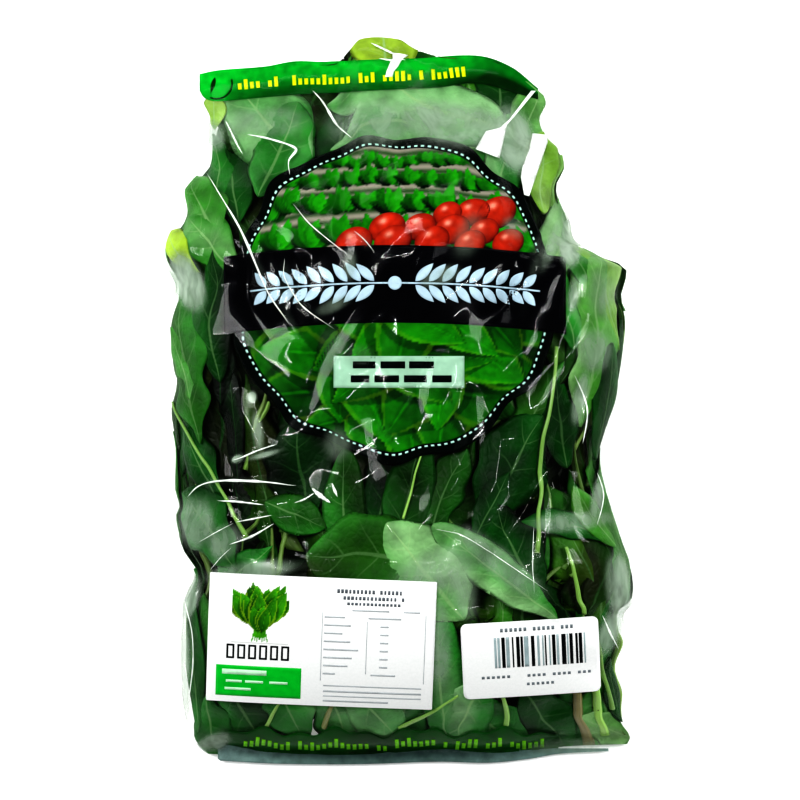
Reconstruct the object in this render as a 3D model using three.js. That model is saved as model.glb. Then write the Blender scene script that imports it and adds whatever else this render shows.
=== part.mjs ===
// A clear film bag packed with rocket leaves, lying on its back with the printed side up.
// Millimetres, +Z up. +Y runs from the sealed foot of the bag to its folded head, and the bag rests on z = 0.
// The bag is one closed solid out to its lumpy outer form, and two paper labels lie on its front.
import * as THREE from "three";

// Driving sizes
const fullThickness = 60; // rise of the front film over the side folds, mid-bag
const sideFoldHeight = 21; // height of the side folds over the table, mid-bag
const filmEdge = 1.4; // thickness of the flat film edges all round
const centreLine = -4; // where the left and right halves of the cross-section meet
const backColumns = 12;
const finer = 4; // front columns to each back column
const frontColumns = backColumns * finer;
const rows = 80;

// Side outlines from foot to head, as [y, x]. The film is drawn in and pushed out by the leaves behind it.
const leftSide = [
  [-180, -88], [-175, -96], [-169, -102], [-162, -104.5], [-145, -107.5], [-106, -107], [-95, -104.5],
  [-87, -101.5], [-76, -107.5], [-58, -112], [-52, -110], [-46, -112], [-25, -112], [-5, -114.5], [8, -112],
  [32, -115], [56, -110.5], [67, -116], [74, -117.5], [80, -115.5], [92, -107.5], [104, -109], [109, -104.5],
  [116, -96.5], [139, -94], [146, -97], [157, -100.5], [162, -99.5],
];
const rightSide = [
  [-175, 110.5], [-168, 115], [-156, 112], [-145, 112.5], [-133, 110], [-120, 114], [-107, 111], [-99, 116.5],
  [-80, 116], [-70, 112], [-45, 104], [-29, 101], [-16, 104], [0, 108.5], [27, 113], [44, 113], [51, 110.5],
  [62, 113], [67, 112], [73, 98], [78, 87.5], [88, 84.5], [104, 79], [115, 83.5], [125, 80.5], [130, 74],
  [139, 70], [147, 73], [153, 71],
];
// End outlines from left to right, as [x, y]. A leaf tip lifts the middle of the head.
const headEnd = [
  [-99.5, 162], [-90, 164], [-66, 166], [-52, 168.5], [-31, 169], [-25, 175], [-19, 181.2], [0, 181], [7, 176.5],
  [20, 172.5], [47, 170.5], [57, 165], [68, 156.5], [71, 153],
];
const footEnd = [
  [-88, -180], [-60, -181.5], [-20, -181.7], [20, -180.5], [45, -181], [65, -179], [80, -176.5], [110.5, -175],
];

// How full the bag is at a distance from its head and from its foot, as [distance, share]
const headFill = [[0, 0], [9, 0.02], [20, 0.16], [38, 0.42], [62, 0.7], [95, 0.91], [140, 1]];
const footFill = [[0, 0], [7, 0.03], [11, 0.3], [20, 0.56], [36, 0.78], [60, 0.92], [95, 1]];
const foldFill = [[0, 0.12], [8, 0.16], [30, 0.5], [70, 0.9], [110, 1]];

// Leaves that press on the film: how they are laid out and how far they lift it
const leafRows = 13;
const leafColumns = 9;
const leafLift = 2.6;
const leafCrown = 5.2;
const leafSharpness = 1.1; // per millimetre. Higher keeps the valleys between leaves crisper
const leafSeed = 4711;

const labels = [
  { name: "product_label", x: -38.3, y: -118.6, width: 111.5, height: 63.5, tilt: -2.2, corner: 0.6, reach: 9 },
  { name: "barcode_label", x: 64.8, y: -126.8, width: 68, height: 37.5, tilt: 3, corner: 3, reach: 7 },
];
const labelGap = 0.8;
const labelThickness = 0.4;
const labelColumns = 22;
const labelRows = 12;

const mix = (a, b, t) => a + (b - a) * t;
const clamp = (t, low = 0, high = 1) => Math.min(high, Math.max(low, t));
const ease = (t) => clamp(t) ** 2 * (3 - 2 * clamp(t));

// The value of a table at a place: a smooth curve through its rows, level past its ends
function along(table, at) {
  const last = table.length - 1;
  if (at <= table[0][0]) return table[0][1];
  if (at >= table[last][0]) return table[last][1];
  const i = table.findIndex((row) => row[0] > at);
  const slope = (a, b) => (table[b][1] - table[a][1]) / (table[b][0] - table[a][0]);
  const width = table[i][0] - table[i - 1][0];
  const t = (at - table[i - 1][0]) / width;
  const rise = t ** 2 * (3 - 2 * t);
  const leave = slope(Math.max(i - 2, 0), i) * width * t * (1 - t) ** 2;
  const arrive = slope(i - 1, Math.min(i + 1, last)) * width * t ** 2 * (1 - t);
  return mix(table[i - 1][1], table[i][1], rise) + leave - arrive;
}

// A repeatable stream of numbers from 0 to 1
function numbers(seed) {
  let state = seed;
  return () => {
    state = (state * 1664525 + 1013904223) % 4294967296;
    return state / 4294967296;
  };
}

// Leaves in staggered rows, stalks towards the foot, each turned, sized and lifted a little differently
function layLeaves() {
  const draw = numbers(leafSeed);
  const leaves = [];
  for (let row = 0; row < leafRows; row++)
    for (let column = 0; column < leafColumns; column++) {
      const stagger = row % 2 ? 0.5 : 0;
      leaves.push({
        x: mix(-118, 118, (column + stagger + mix(-0.3, 0.3, draw())) / (leafColumns - 0.5)),
        y: mix(-172, 172, (row + mix(-0.3, 0.3, draw())) / (leafRows - 1)),
        turn: THREE.MathUtils.degToRad(mix(-38, 38, draw())),
        halfLength: mix(26, 44, draw()),
        halfWidth: mix(11, 19, draw()),
        lift: leafLift * draw(),
      });
    }
  return leaves;
}
const leaves = layLeaves();

// The soft upper envelope of all the leaves: each is a low dome, and the film bridges the valleys between them
function leafRelief(x, y) {
  let sum = 0;
  for (const leaf of leaves) {
    const dx = x - leaf.x;
    const dy = y - leaf.y;
    const lengthwise = (dy * Math.cos(leaf.turn) - dx * Math.sin(leaf.turn)) / leaf.halfLength;
    const crosswise = (dx * Math.cos(leaf.turn) + dy * Math.sin(leaf.turn)) / leaf.halfWidth;
    const dome = leaf.lift + leafCrown * (1 - lengthwise ** 2 - crosswise ** 2);
    sum += Math.exp(leafSharpness * Math.max(dome, -30));
  }
  return Math.log(sum) / leafSharpness - leafCrown - leafLift;
}

// Place across the bag, from -1 at the left fold to 1 at the right fold
function across(x, y) {
  const side = x < centreLine ? centreLine - along(leftSide, y) : along(rightSide, y) - centreLine;
  return clamp((x - centreLine) / side, -1, 1);
}

// 1 under a label and 0 away from it: paper keeps the film below it smooth
function labelCover(x, y) {
  return Math.max(
    ...labels.map((label) => {
      const tilt = THREE.MathUtils.degToRad(label.tilt);
      const dx = x - label.x;
      const dy = y - label.y;
      const outX = Math.abs(dx * Math.cos(tilt) + dy * Math.sin(tilt)) - label.width / 2;
      const outY = Math.abs(dy * Math.cos(tilt) - dx * Math.sin(tilt)) - label.height / 2;
      return 1 - ease((Math.max(outX, outY) - 2) / label.reach);
    }),
  );
}

function seamHeight(x, y) {
  const fromHead = along(headEnd, x) - y;
  const fromFoot = y - along(footEnd, x);
  return sideFoldHeight * along(foldFill, Math.min(fromHead, fromFoot));
}

// Height of the front film: a full pillow across, thinning to the flat head and foot, with the leaves' relief
function frontHeight(x, y) {
  const fromHead = along(headEnd, x) - y;
  const fromFoot = y - along(footEnd, x);
  const place = Math.abs(across(x, y));
  const pillow = (1 - place ** 3.1) ** 0.6;
  const full = along(headFill, fromHead) * along(footFill, fromFoot);
  const edgeFade = ease((1 - place) / 0.22) * ease((fromHead - 6) / 26) * ease((fromFoot - 6) / 20);
  const relief = leafRelief(x, y) * edgeFade * (1 - labelCover(x, y));
  return seamHeight(x, y) + filmEdge / 2 + (fullThickness * full - sideFoldHeight * 0.4 * full) * pillow + relief;
}

// Height of the back film: flat on the table, turning up to the side folds and the ends
function backHeight(x, y) {
  const fromHead = along(headEnd, x) - y;
  const fromFoot = y - along(footEnd, x);
  const place = Math.abs(across(x, y));
  const flat = clamp(1.5 * Math.sqrt(1 - place ** 4)) * ease(fromHead / 26) * ease(fromFoot / 14);
  return (seamHeight(x, y) - filmEdge / 2) * (1 - flat);
}

// A point of the bag's plan: u runs from -1 at the left fold to 1 at the right, v from 0 at the foot to 1 at the head
function plan(u, v) {
  const sideAt = (left, right) => centreLine + u * (u < 0 ? centreLine - left : right - centreLine);
  const foot = along(footEnd, sideAt(footEnd[0][0], footEnd.at(-1)[0]));
  const head = along(headEnd, sideAt(headEnd[0][0], headEnd.at(-1)[0]));
  const y = mix(foot, head, v);
  return [sideAt(along(leftSide, y), along(rightSide, y)), y];
}

function meshOf(name, points, faces, material) {
  const geometry = new THREE.BufferGeometry();
  geometry.setAttribute("position", new THREE.Float32BufferAttribute(points.flat(), 3));
  geometry.setIndex(faces.flat());
  geometry.computeVertexNormals();
  const mesh = new THREE.Mesh(geometry, material);
  mesh.name = name;
  return mesh;
}

// Columns crowd together towards the side folds, where the form turns fastest
function spread(share) {
  const widest = 0.43 * Math.PI;
  return Math.sin(mix(-widest, widest, share)) / Math.sin(widest);
}

// The bag: each row is a ring of front and back points, and a strip closes each end
function makeBag() {
  const points = [];
  const faces = [];
  const back = frontColumns + 1; // where the back starts in a ring
  const ring = back + backColumns + 1;
  for (let row = 0; row <= rows; row++) {
    const v = mix(row / rows, ease(row / rows), 0.3);
    for (let column = 0; column <= frontColumns; column++) {
      const [x, y] = plan(spread(column / frontColumns), v);
      points.push([x, y, frontHeight(x, y)]);
    }
    for (let column = backColumns; column >= 0; column--) {
      const [x, y] = plan(spread(column / backColumns), v);
      points.push([x, y, backHeight(x, y)]);
    }
  }
  for (let row = 0; row < rows; row++)
    for (let i = 0; i < ring; i++) {
      const a = row * ring + i;
      const b = row * ring + ((i + 1) % ring);
      faces.push([a, b, b + ring], [a, b + ring, a + ring]);
    }
  const end = (start, turned) => {
    const add = (a, b, c) => faces.push(turned ? [start + a, start + b, start + c] : [start + a, start + c, start + b]);
    for (let column = 0; column < frontColumns; column++) {
      const below = back + backColumns - Math.floor(column / finer);
      add(column, column + 1, below);
      if (column % finer === finer - 1) add(column + 1, below - 1, below);
    }
  };
  end(0, false);
  end(rows * ring, true);
  const leafGreen = new THREE.MeshStandardMaterial({ color: 0x3c7a33, roughness: 0.3, metalness: 0 });
  return meshOf("bag", points, faces, leafGreen);
}

// A paper label: a thin plate with rounded corners that follows the front film
function makeLabel(label) {
  const points = [];
  const faces = [];
  const tilt = THREE.MathUtils.degToRad(label.tilt);
  const width = labelColumns + 1;
  const count = width * (labelRows + 1);
  for (const lift of [labelGap + labelThickness, labelGap])
    for (let row = 0; row <= labelRows; row++) {
      // the first and last rows lie in the rounded corners
      const level = row === 0 || row === labelRows ? 1 : Math.abs(mix(-1, 1, (row - 1) / (labelRows - 2)));
      const away = row === 0 || row === labelRows ? 0 : label.corner * (0.3 + 0.7 * (1 - level));
      const down = (label.height / 2) * level - away;
      const cut = label.corner - Math.sqrt(label.corner ** 2 - clamp(down - label.height / 2 + label.corner, 0, label.corner) ** 2);
      const b = (row < labelRows / 2 ? -1 : 1) * down;
      for (let column = 0; column < width; column++) {
        const a = mix(-1, 1, column / labelColumns) * (label.width / 2 - cut);
        const x = label.x + a * Math.cos(tilt) - b * Math.sin(tilt);
        const y = label.y + a * Math.sin(tilt) + b * Math.cos(tilt);
        points.push([x, y, frontHeight(x, y) + lift]);
      }
    }
  for (let row = 0; row < labelRows; row++)
    for (let column = 0; column < labelColumns; column++) {
      const a = row * width + column;
      faces.push([a, a + 1, a + width + 1], [a, a + width + 1, a + width]);
      faces.push([count + a, count + a + width + 1, count + a + 1], [count + a, count + a + width, count + a + width + 1]);
    }
  const wall = (a, b) => faces.push([a, count + a, count + b], [a, count + b, b]);
  for (let column = 0; column < labelColumns; column++) {
    wall(column, column + 1);
    wall(labelRows * width + column + 1, labelRows * width + column);
  }
  for (let row = 0; row < labelRows; row++) {
    wall((row + 1) * width, row * width);
    wall(row * width + labelColumns, (row + 1) * width + labelColumns);
  }
  const paper = new THREE.MeshStandardMaterial({ color: 0xf4f6f4, roughness: 0.55, metalness: 0 });
  return meshOf(label.name, points, faces, paper);
}

const model = new THREE.Group();
model.add(makeBag(), ...labels.map(makeLabel));

// The origin is the middle of the bag's outline, on the table
const extent = new THREE.Box3().setFromObject(model);
const centre = extent.getCenter(new THREE.Vector3());
model.position.set(-centre.x, -centre.y, -extent.min.z);

export default model;
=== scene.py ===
import bpy
import numpy as np
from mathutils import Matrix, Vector


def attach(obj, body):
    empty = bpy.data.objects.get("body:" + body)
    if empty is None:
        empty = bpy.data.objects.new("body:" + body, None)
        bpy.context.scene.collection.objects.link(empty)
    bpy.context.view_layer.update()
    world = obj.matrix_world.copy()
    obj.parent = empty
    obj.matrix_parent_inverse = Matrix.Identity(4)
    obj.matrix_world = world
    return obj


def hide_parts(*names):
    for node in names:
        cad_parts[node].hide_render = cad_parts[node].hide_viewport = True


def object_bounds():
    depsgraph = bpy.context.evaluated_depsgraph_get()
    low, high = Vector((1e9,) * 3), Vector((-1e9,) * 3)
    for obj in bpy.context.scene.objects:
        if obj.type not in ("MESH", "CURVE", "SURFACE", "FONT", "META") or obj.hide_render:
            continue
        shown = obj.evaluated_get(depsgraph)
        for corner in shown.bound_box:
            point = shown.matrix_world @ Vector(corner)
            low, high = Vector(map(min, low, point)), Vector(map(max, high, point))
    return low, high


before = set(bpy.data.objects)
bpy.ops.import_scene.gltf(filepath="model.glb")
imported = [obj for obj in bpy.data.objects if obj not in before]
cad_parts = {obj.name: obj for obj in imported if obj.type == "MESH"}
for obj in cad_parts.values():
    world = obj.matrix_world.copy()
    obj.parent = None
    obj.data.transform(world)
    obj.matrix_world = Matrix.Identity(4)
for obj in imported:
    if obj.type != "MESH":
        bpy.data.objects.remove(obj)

# A clear film bag packed with rocket leaves. Forms are worked out in the bag's own millimetres, as the part's
# source does, and moved to the frame's metres when a mesh is made.
cadLow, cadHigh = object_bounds()


def mix(a, b, t):
    # straight from a to b as t goes from 0 to 1
    return a + (b - a) * t


def ease(t):
    # 0 to 1 with a soft start and end: 3t^2 - 2t^3
    t = np.clip(t, 0, 1)
    return t * t * (3 - 2 * t)


def turned(x, y, turn):
    # (x, y) measured in axes turned by an angle: x cos + y sin, and y cos - x sin
    return x * np.cos(turn) + y * np.sin(turn), y * np.cos(turn) - x * np.sin(turn)


def rowsOf(*columns):
    # a table from its columns, in which one number may stand for a whole column
    return np.stack(np.broadcast_arrays(*columns), -1)


def ahead(turn):
    # unit step along a direction that is turned from +Y towards +X
    return rowsOf(np.sin(turn), np.cos(turn))


# The bag's form
form = {
    "fullThickness": 60.0,  # rise of the front film over the side folds, mid-bag
    "sideFoldHeight": 21.0,
    "filmEdge": 1.4,
    "centreLine": -4.0,
    "leafRows": 13,
    "leafColumns": 9,
    "leafLift": 2.6,
    "leafCrown": 5.2,
    "leafSharpness": 1.1,
    "leafSeed": 4711,
    "labelSpare": 2.0,
}
leftSide = np.array([
    [-180, -88], [-175, -96], [-169, -102], [-162, -104.5], [-145, -107.5], [-106, -107], [-95, -104.5],
    [-87, -101.5], [-76, -107.5], [-58, -112], [-52, -110], [-46, -112], [-25, -112], [-5, -114.5],
    [8, -112], [32, -115], [56, -110.5], [67, -116], [74, -117.5], [80, -115.5], [92, -107.5],
    [104, -109], [109, -104.5], [116, -96.5], [139, -94], [146, -97], [157, -100.5], [162, -99.5],

])
rightSide = np.array([
    [-175, 110.5], [-168, 115], [-156, 112], [-145, 112.5], [-133, 110], [-120, 114], [-107, 111],
    [-99, 116.5], [-80, 116], [-70, 112], [-45, 104], [-29, 101], [-16, 104], [0, 108.5], [27, 113],
    [44, 113], [51, 110.5], [62, 113], [67, 112], [73, 98], [78, 87.5], [88, 84.5], [104, 79],
    [115, 83.5], [125, 80.5], [130, 74], [139, 70], [147, 73], [153, 71],

])
headEnd = np.array([
    [-99.5, 162], [-90, 164], [-66, 166], [-52, 168.5], [-31, 169], [-25, 175], [-19, 181.2], [0, 181],
    [7, 176.5], [20, 172.5], [47, 170.5], [57, 165], [68, 156.5], [71, 153],

])
footEnd = np.array([
    [-88, -180], [-60, -181.5], [-20, -181.7], [20, -180.5], [45, -181], [65, -179], [80, -176.5],
    [110.5, -175],

])
headFill = np.array([[0, 0], [9, 0.02], [20, 0.16], [38, 0.42], [62, 0.7], [95, 0.91], [140, 1]])
footFill = np.array([[0, 0], [7, 0.03], [11, 0.3], [20, 0.56], [36, 0.78], [60, 0.92], [95, 1]])
foldFill = np.array([[0, 0.12], [8, 0.16], [30, 0.5], [70, 0.9], [110, 1]])
labels = {
    "product": {"x": -38.3, "y": -118.6, "width": 111.5, "height": 63.5, "tilt": -2.2, "corner": 0.6,
                "reach": 9},
    "barcode": {"x": 64.8, "y": -126.8, "width": 68, "height": 37.5, "tilt": 3, "corner": 3, "reach": 7},
}


def along(table, at):
    # cubic between the rows, its slope at a row taken from the rows beside it, and level past the ends
    places, values = table[:, 0], table[:, 1]
    at = np.clip(at, places[0], places[-1])
    i = np.clip(np.searchsorted(places, at, side="right"), 1, len(places) - 1)
    before, after = np.maximum(i - 2, 0), np.minimum(i + 1, len(places) - 1)
    width = places[i] - places[i - 1]
    t = (at - places[i - 1]) / width
    leave = (values[i] - values[before]) / (places[i] - places[before]) * width * t * (1 - t) ** 2
    arrive = (values[after] - values[i - 1]) / (places[after] - places[i - 1]) * width * t ** 2 * (1 - t)
    return mix(values[i - 1], values[i], t * t * (3 - 2 * t)) + leave - arrive


def layLeaves():
    # the leaves that lift the film: staggered rows, each leaf drawn from one repeatable stream of numbers
    state = form["leafSeed"]
    drawn = []
    for _ in range(form["leafRows"] * form["leafColumns"] * 6):
        state = (state * 1664525 + 1013904223) % 4294967296
        drawn.append(state / 4294967296)
    drawn = np.array(drawn).reshape(form["leafRows"], form["leafColumns"], 6)
    row, column = np.mgrid[0 : form["leafRows"], 0 : form["leafColumns"]]
    x = mix(-118, 118, (column + row % 2 * 0.5 + mix(-0.3, 0.3, drawn[..., 0])) / (form["leafColumns"] - 0.5))
    y = mix(-172, 172, (row + mix(-0.3, 0.3, drawn[..., 1])) / (form["leafRows"] - 1))
    turn = np.radians(mix(-38, 38, drawn[..., 2]))
    sizes = [mix(26, 44, drawn[..., 3]), mix(11, 19, drawn[..., 4]), form["leafLift"] * drawn[..., 5]]
    return rowsOf(x, y, turn, *sizes).reshape(-1, 6)


def leafRelief(x, y):
    # soft upper envelope of the leaves: log of the sum of exp(sharpness * dome), each dome 1 - l^2 - c^2
    total = np.zeros(np.broadcast(x, y).shape)
    for leafX, leafY, turn, halfLength, halfWidth, lift in pressedLeaves:
        c, l = turned(x - leafX, y - leafY, turn)
        dome = lift + form["leafCrown"] * (1 - (l / halfLength) ** 2 - (c / halfWidth) ** 2)
        total += np.exp(form["leafSharpness"] * np.maximum(dome, -30))
    return np.log(total) / form["leafSharpness"] - form["leafCrown"] - form["leafLift"]


def across(x, y):
    # place across the bag, from -1 at the left fold to 1 at the right fold
    centre = form["centreLine"]
    side = np.where(x < centre, centre - along(leftSide, y), along(rightSide, y) - centre)
    return np.clip((x - centre) / side, -1, 1)


def labelCover(x, y):
    # 1 under a label, easing to 0 over its reach, which starts a little way outside its edge
    cover = np.zeros(np.broadcast(x, y).shape)
    for label in labels.values():
        a, b = turned(x - label["x"], y - label["y"], np.radians(label["tilt"]))
        out = np.maximum(np.abs(a) - label["width"] / 2, np.abs(b) - label["height"] / 2)
        cover = np.maximum(cover, 1 - ease((out - form["labelSpare"]) / label["reach"]))
    return cover


def seamHeight(x, y):
    # height of the line where front and back film meet
    fromEnd = np.minimum(along(headEnd, x) - y, y - along(footEnd, x))
    return form["sideFoldHeight"] * along(foldFill, fromEnd)


def frontHeight(x, y):
    # seam + pillow (1 - p^3.1)^0.6 across, filled from head and foot, + the leaves' relief
    fromHead, fromFoot = along(headEnd, x) - y, y - along(footEnd, x)
    place = np.abs(across(x, y))
    full = along(headFill, fromHead) * along(footFill, fromFoot)
    fade = ease((1 - place) / 0.22) * ease((fromHead - 6) / 26) * ease((fromFoot - 6) / 20)
    relief = leafRelief(x, y) * fade * (1 - labelCover(x, y))
    rise = form["fullThickness"] * full - form["sideFoldHeight"] * 0.4 * full
    return seamHeight(x, y) + form["filmEdge"] / 2 + rise * (1 - place ** 3.1) ** 0.6 + relief


def backHeight(x, y):
    # flat on the table, turning up to the side folds and the ends
    fromHead, fromFoot = along(headEnd, x) - y, y - along(footEnd, x)
    place = np.abs(across(x, y))
    flat = np.clip(1.5 * np.sqrt(1 - place ** 4), 0, 1) * ease(fromHead / 26) * ease(fromFoot / 14)
    return (seamHeight(x, y) - form["filmEdge"] / 2) * (1 - flat)


def sideAt(u, left, right):
    # x at a share u across, from the centre line to the left or the right side
    centre = form["centreLine"]
    return centre + u * np.where(u < 0, centre - left, right - centre)


def ends(u):
    # foot and head of the bag at a share u across
    foot = along(footEnd, sideAt(u, footEnd[0, 0], footEnd[-1, 0]))
    return foot, along(headEnd, sideAt(u, headEnd[0, 0], headEnd[-1, 0]))


def plan(u, v):
    # u from -1 at the left fold to 1 at the right, v from 0 at the foot to 1 at the head
    foot, head = ends(u)
    y = mix(foot, head, v)
    return sideAt(u, along(leftSide, y), along(rightSide, y)), y


# The bag's skin as one sheet round the bag: v runs from foot to head, and q round the section, 0 at the
# middle of the front, -1 and 1 both at the middle of the back. a and b are the same places in millimetres.
skin = {"rows": 364, "frontSteps": 300, "columns": 961, "acrossSteps": 401, "fullDepth": 44}
halfGirth = 250.0  # millimetres of film from the middle of the front to the middle of the back, about
bagLength = 362.0


def makeSkin():
    # rings of front and back points, respaced evenly by the length of film between them
    v = np.linspace(0, 1, skin["rows"])[:, None]
    widest = 0.43 * np.pi
    u = np.sin(np.linspace(-widest, widest, skin["frontSteps"] + 1)) / np.sin(widest)
    x, y = plan(u[None, :], v)
    front, back = rowsOf(x, y, frontHeight(x, y)), rowsOf(x, y, backHeight(x, y))
    middle = skin["frontSteps"] // 2
    ring = np.concatenate([back[:, middle::-1], front, back[:, : middle - 1 : -1]], 1)
    steps = np.linalg.norm(np.diff(ring, axis=1), axis=2)
    travelled = np.concatenate([np.zeros((len(v), 1)), np.cumsum(steps, 1)], 1)
    frontMiddle = 2 * middle + 1
    left = travelled[:, frontMiddle]
    right = travelled[:, -1] - left
    turn = travelled - left[:, None]
    turn = np.where(turn < 0, turn / left[:, None], turn / right[:, None])
    even = np.linspace(-1, 1, skin["columns"])
    points = np.array([[np.interp(even, t, r[:, k]) for k in range(3)] for t, r in zip(turn, ring)])
    points = points.transpose(0, 2, 1)
    evenAcross = np.linspace(-1, 1, skin["acrossSteps"])
    frontTurn = turn[:, middle + 1 : middle + 2 + skin["frontSteps"]]
    turnAt = np.array([np.interp(evenAcross, u, t) for t in frontTurn])
    outward = np.cross(np.gradient(points, axis=1), np.gradient(points, axis=0))
    outward /= np.maximum(np.linalg.norm(outward, axis=2, keepdims=True), 1e-9)
    return points, outward, turnAt, left, right


def lookUp(grid, v, t):
    # bilinear value of a grid whose rows are v from 0 to 1 and whose columns are t from -1 to 1
    r = np.clip(v, 0, 1) * (grid.shape[0] - 1)
    c = (np.clip(t, -1, 1) + 1) / 2 * (grid.shape[1] - 1)
    r0 = np.minimum(r.astype(int), grid.shape[0] - 2)
    c0 = np.minimum(c.astype(int), grid.shape[1] - 2)
    fr, fc = r - r0, c - c0
    if grid.ndim == 3:
        fr, fc = fr[..., None], fc[..., None]
    top = mix(grid[r0, c0], grid[r0, c0 + 1], fc)
    return mix(top, mix(grid[r0 + 1, c0], grid[r0 + 1, c0 + 1], fc), fr)


pressedLeaves = layLeaves()
skinPoints, skinOutward, turnAcross, leftRound, rightRound = makeSkin()
skinV = np.linspace(0, 1, skin["rows"])
thickness = skinPoints[..., 2].max(1) - skinPoints[..., 2].min(1)  # at each v
shift = -(skinPoints.min((0, 1)) + skinPoints.max((0, 1))) / 2 * [1, 1, 0]
shift += np.array([cadLow[0] + cadHigh[0], cadLow[1] + cadHigh[1], 0]) * 500
print("skin of the bag", skinPoints.shape)


def fromPlan(x, y):
    # (q, v) of a point of the front film above (x, y)
    u = across(x, y)
    foot, head = ends(u)
    v = (y - foot) / (head - foot)
    return lookUp(turnAcross, v, u), v


def halfRound(v, side):
    # millimetres of film from the middle of the front round one side to the middle of the back
    return np.where(side < 0, np.interp(v, skinV, leftRound), np.interp(v, skinV, rightRound))


def toFilmLengths(x, y):
    # (a, b) in millimetres of film from the middle line and from the foot
    q, v = fromPlan(x, y)
    return q * halfRound(v, q), v * bagLength


def wrapTurn(q):
    # brings a place round the section back to -1 to 1
    return (q + 1) % 2 - 1


def offSkin(v, q, lift):
    # point of the skin, moved outwards by a lift
    return lookUp(skinPoints, v, q) + lookUp(skinOutward, v, q) * lift[..., None]


def roomAt(v):
    # share of the full depth that the bag has at v, so that leaves stay inside its thin head and foot
    return np.clip(np.interp(v, skinV, thickness) / skin["fullDepth"], 0.015, 1)


def insideSkin(a, b, depth):
    # point at a depth under the film, where depths shrink with the room
    v = np.clip(b / bagLength, 0.012, 0.994)
    return offSkin(v, wrapTurn(a / halfRound(v, a)), -depth * roomAt(v))


# Meshes
def meshPiece(name, points, faceGroups, material, perPoint=None, uv=None):
    # one object at the origin, from points in the bag's millimetres and groups of faces with equal corners
    loops = np.concatenate([faces.ravel() for faces in faceGroups])
    sizes = np.concatenate([np.full(len(faces), faces.shape[1]) for faces in faceGroups])
    mesh = bpy.data.meshes.new(name)
    mesh.vertices.add(len(points))
    mesh.vertices.foreach_set("co", ((points + shift) / 1000).astype(np.float32).ravel())
    mesh.loops.add(len(loops))
    mesh.loops.foreach_set("vertex_index", loops.astype(np.int32))
    mesh.polygons.add(len(sizes))
    mesh.polygons.foreach_set("loop_start", np.concatenate([[0], np.cumsum(sizes)[:-1]]).astype(np.int32))
    mesh.polygons.foreach_set("use_smooth", np.ones(len(sizes), bool))
    if uv is not None:
        mesh.uv_layers.new(name="UVMap").data.foreach_set("uv", uv[loops].astype(np.float32).ravel())
    for key, values in (perPoint or {}).items():
        attribute = mesh.attributes.new(key, "FLOAT", "POINT")
        attribute.data.foreach_set("value", values.astype(np.float32).ravel())
    mesh.update(calc_edges=True)
    mesh.validate()
    mesh.materials.append(material)
    piece = bpy.data.objects.new(name, mesh)
    bpy.context.scene.collection.objects.link(piece)
    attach(piece, "root")
    print(name, sum(len(faces) * (faces.shape[1] - 2) for faces in faceGroups), "triangles")
    return piece


def gridFaces(rows, columns, closed, copies=1):
    # quads between neighbouring rows of points, for a number of equal grids one after the other
    i, k = np.mgrid[0 : rows - 1, 0 : columns if closed else columns - 1]
    i, k = i.ravel(), k.ravel()
    k = k + i * columns
    after = k - k % columns + (k + 1) % columns
    faces = rowsOf(k, after, after + columns, k + columns)
    return (faces[None] + (np.arange(copies) * rows * columns)[:, None, None]).reshape(-1, 4)


def endFaces(rows, columns, copies=1):
    # one face over the first row of each grid, turned round, and one over its last row
    ring = np.arange(columns)
    start = (np.arange(copies) * rows * columns)[:, None]
    return np.concatenate([start + ring[::-1], start + (rows - 1) * columns + ring])


def tubeFaces(rows, columns, copies):
    # closed tubes: their sides and both ends
    return [gridFaces(rows, columns, True, copies), endFaces(rows, columns, copies)]


def slitFaces(q, first, downwards):
    # closes a ring that is pressed flat, its front and back lying together: triangles between the front's and
    # the back's points in their order from the left fold to the right one
    place = np.where(np.abs(q) <= 0.5, 2 * q, 2 * np.sign(q) * (1 - np.abs(q)))
    front, back = (np.flatnonzero(side) for side in (np.abs(q) <= 0.5, np.abs(q) > 0.5))
    front, back = front[np.argsort(place[front])], back[np.argsort(place[back])]
    step = np.argsort(np.concatenate([place[front[1:]], place[back[1:]]]), kind="stable")
    onFront = step < len(front) - 1
    i = np.cumsum(onFront) - onFront
    k = np.cumsum(~onFront) - ~onFront
    i, nextI = (np.minimum(at, len(front) - 1) for at in (i, i + 1))
    k, nextK = (np.minimum(at, len(back) - 1) for at in (k, k + 1))
    faces = rowsOf(front[i], np.where(onFront, front[nextI], back[nextK]), back[k]) + first
    return faces[:, ::-1] if downwards else faces


def roundFaces(q):
    # faces of a skin whose rows are rings with places q, closed by a slit at its foot and at its head
    closing = [slitFaces(q[0], 0, False), slitFaces(q[0], q.size - q.shape[1], True)]
    return [gridFaces(*q.shape, True), np.concatenate(closing)]


# Materials
def linear(hexColour, alpha=1.0):
    # sRGB hex to linear: c / 12.92 below 0.04045, else ((c + 0.055) / 1.055) ^ 2.4
    c = np.array([int(hexColour[i : i + 2], 16) for i in (1, 3, 5)]) / 255
    return (*np.where(c <= 0.04045, c / 12.92, ((c + 0.055) / 1.055) ** 2.4), alpha)


def addNode(material, kind, inputs=None, **settings):
    # adds a node, sets its properties, then gives each input a value, or links it to a socket or to the first
    # output that another node has in use
    node = material.node_tree.nodes.new("ShaderNode" + kind)
    for key, value in settings.items():
        setattr(node, key, value)
    for key, value in (inputs or {}).items():
        if isinstance(value, bpy.types.Node):
            value = next(output for output in value.outputs if output.enabled)
        if isinstance(value, bpy.types.NodeSocket):
            material.node_tree.links.new(value, node.inputs[key])
        else:
            node.inputs[key].default_value = value
    return node


def newMaterial(name):
    # a material with no nodes yet
    material = bpy.data.materials.new(name)
    material.use_nodes = True
    material.node_tree.nodes.clear()
    return material


def finishMaterial(material, shader):
    # gives the material's surface its last shader
    addNode(material, "OutputMaterial", {"Surface": shader})
    return material


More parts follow.
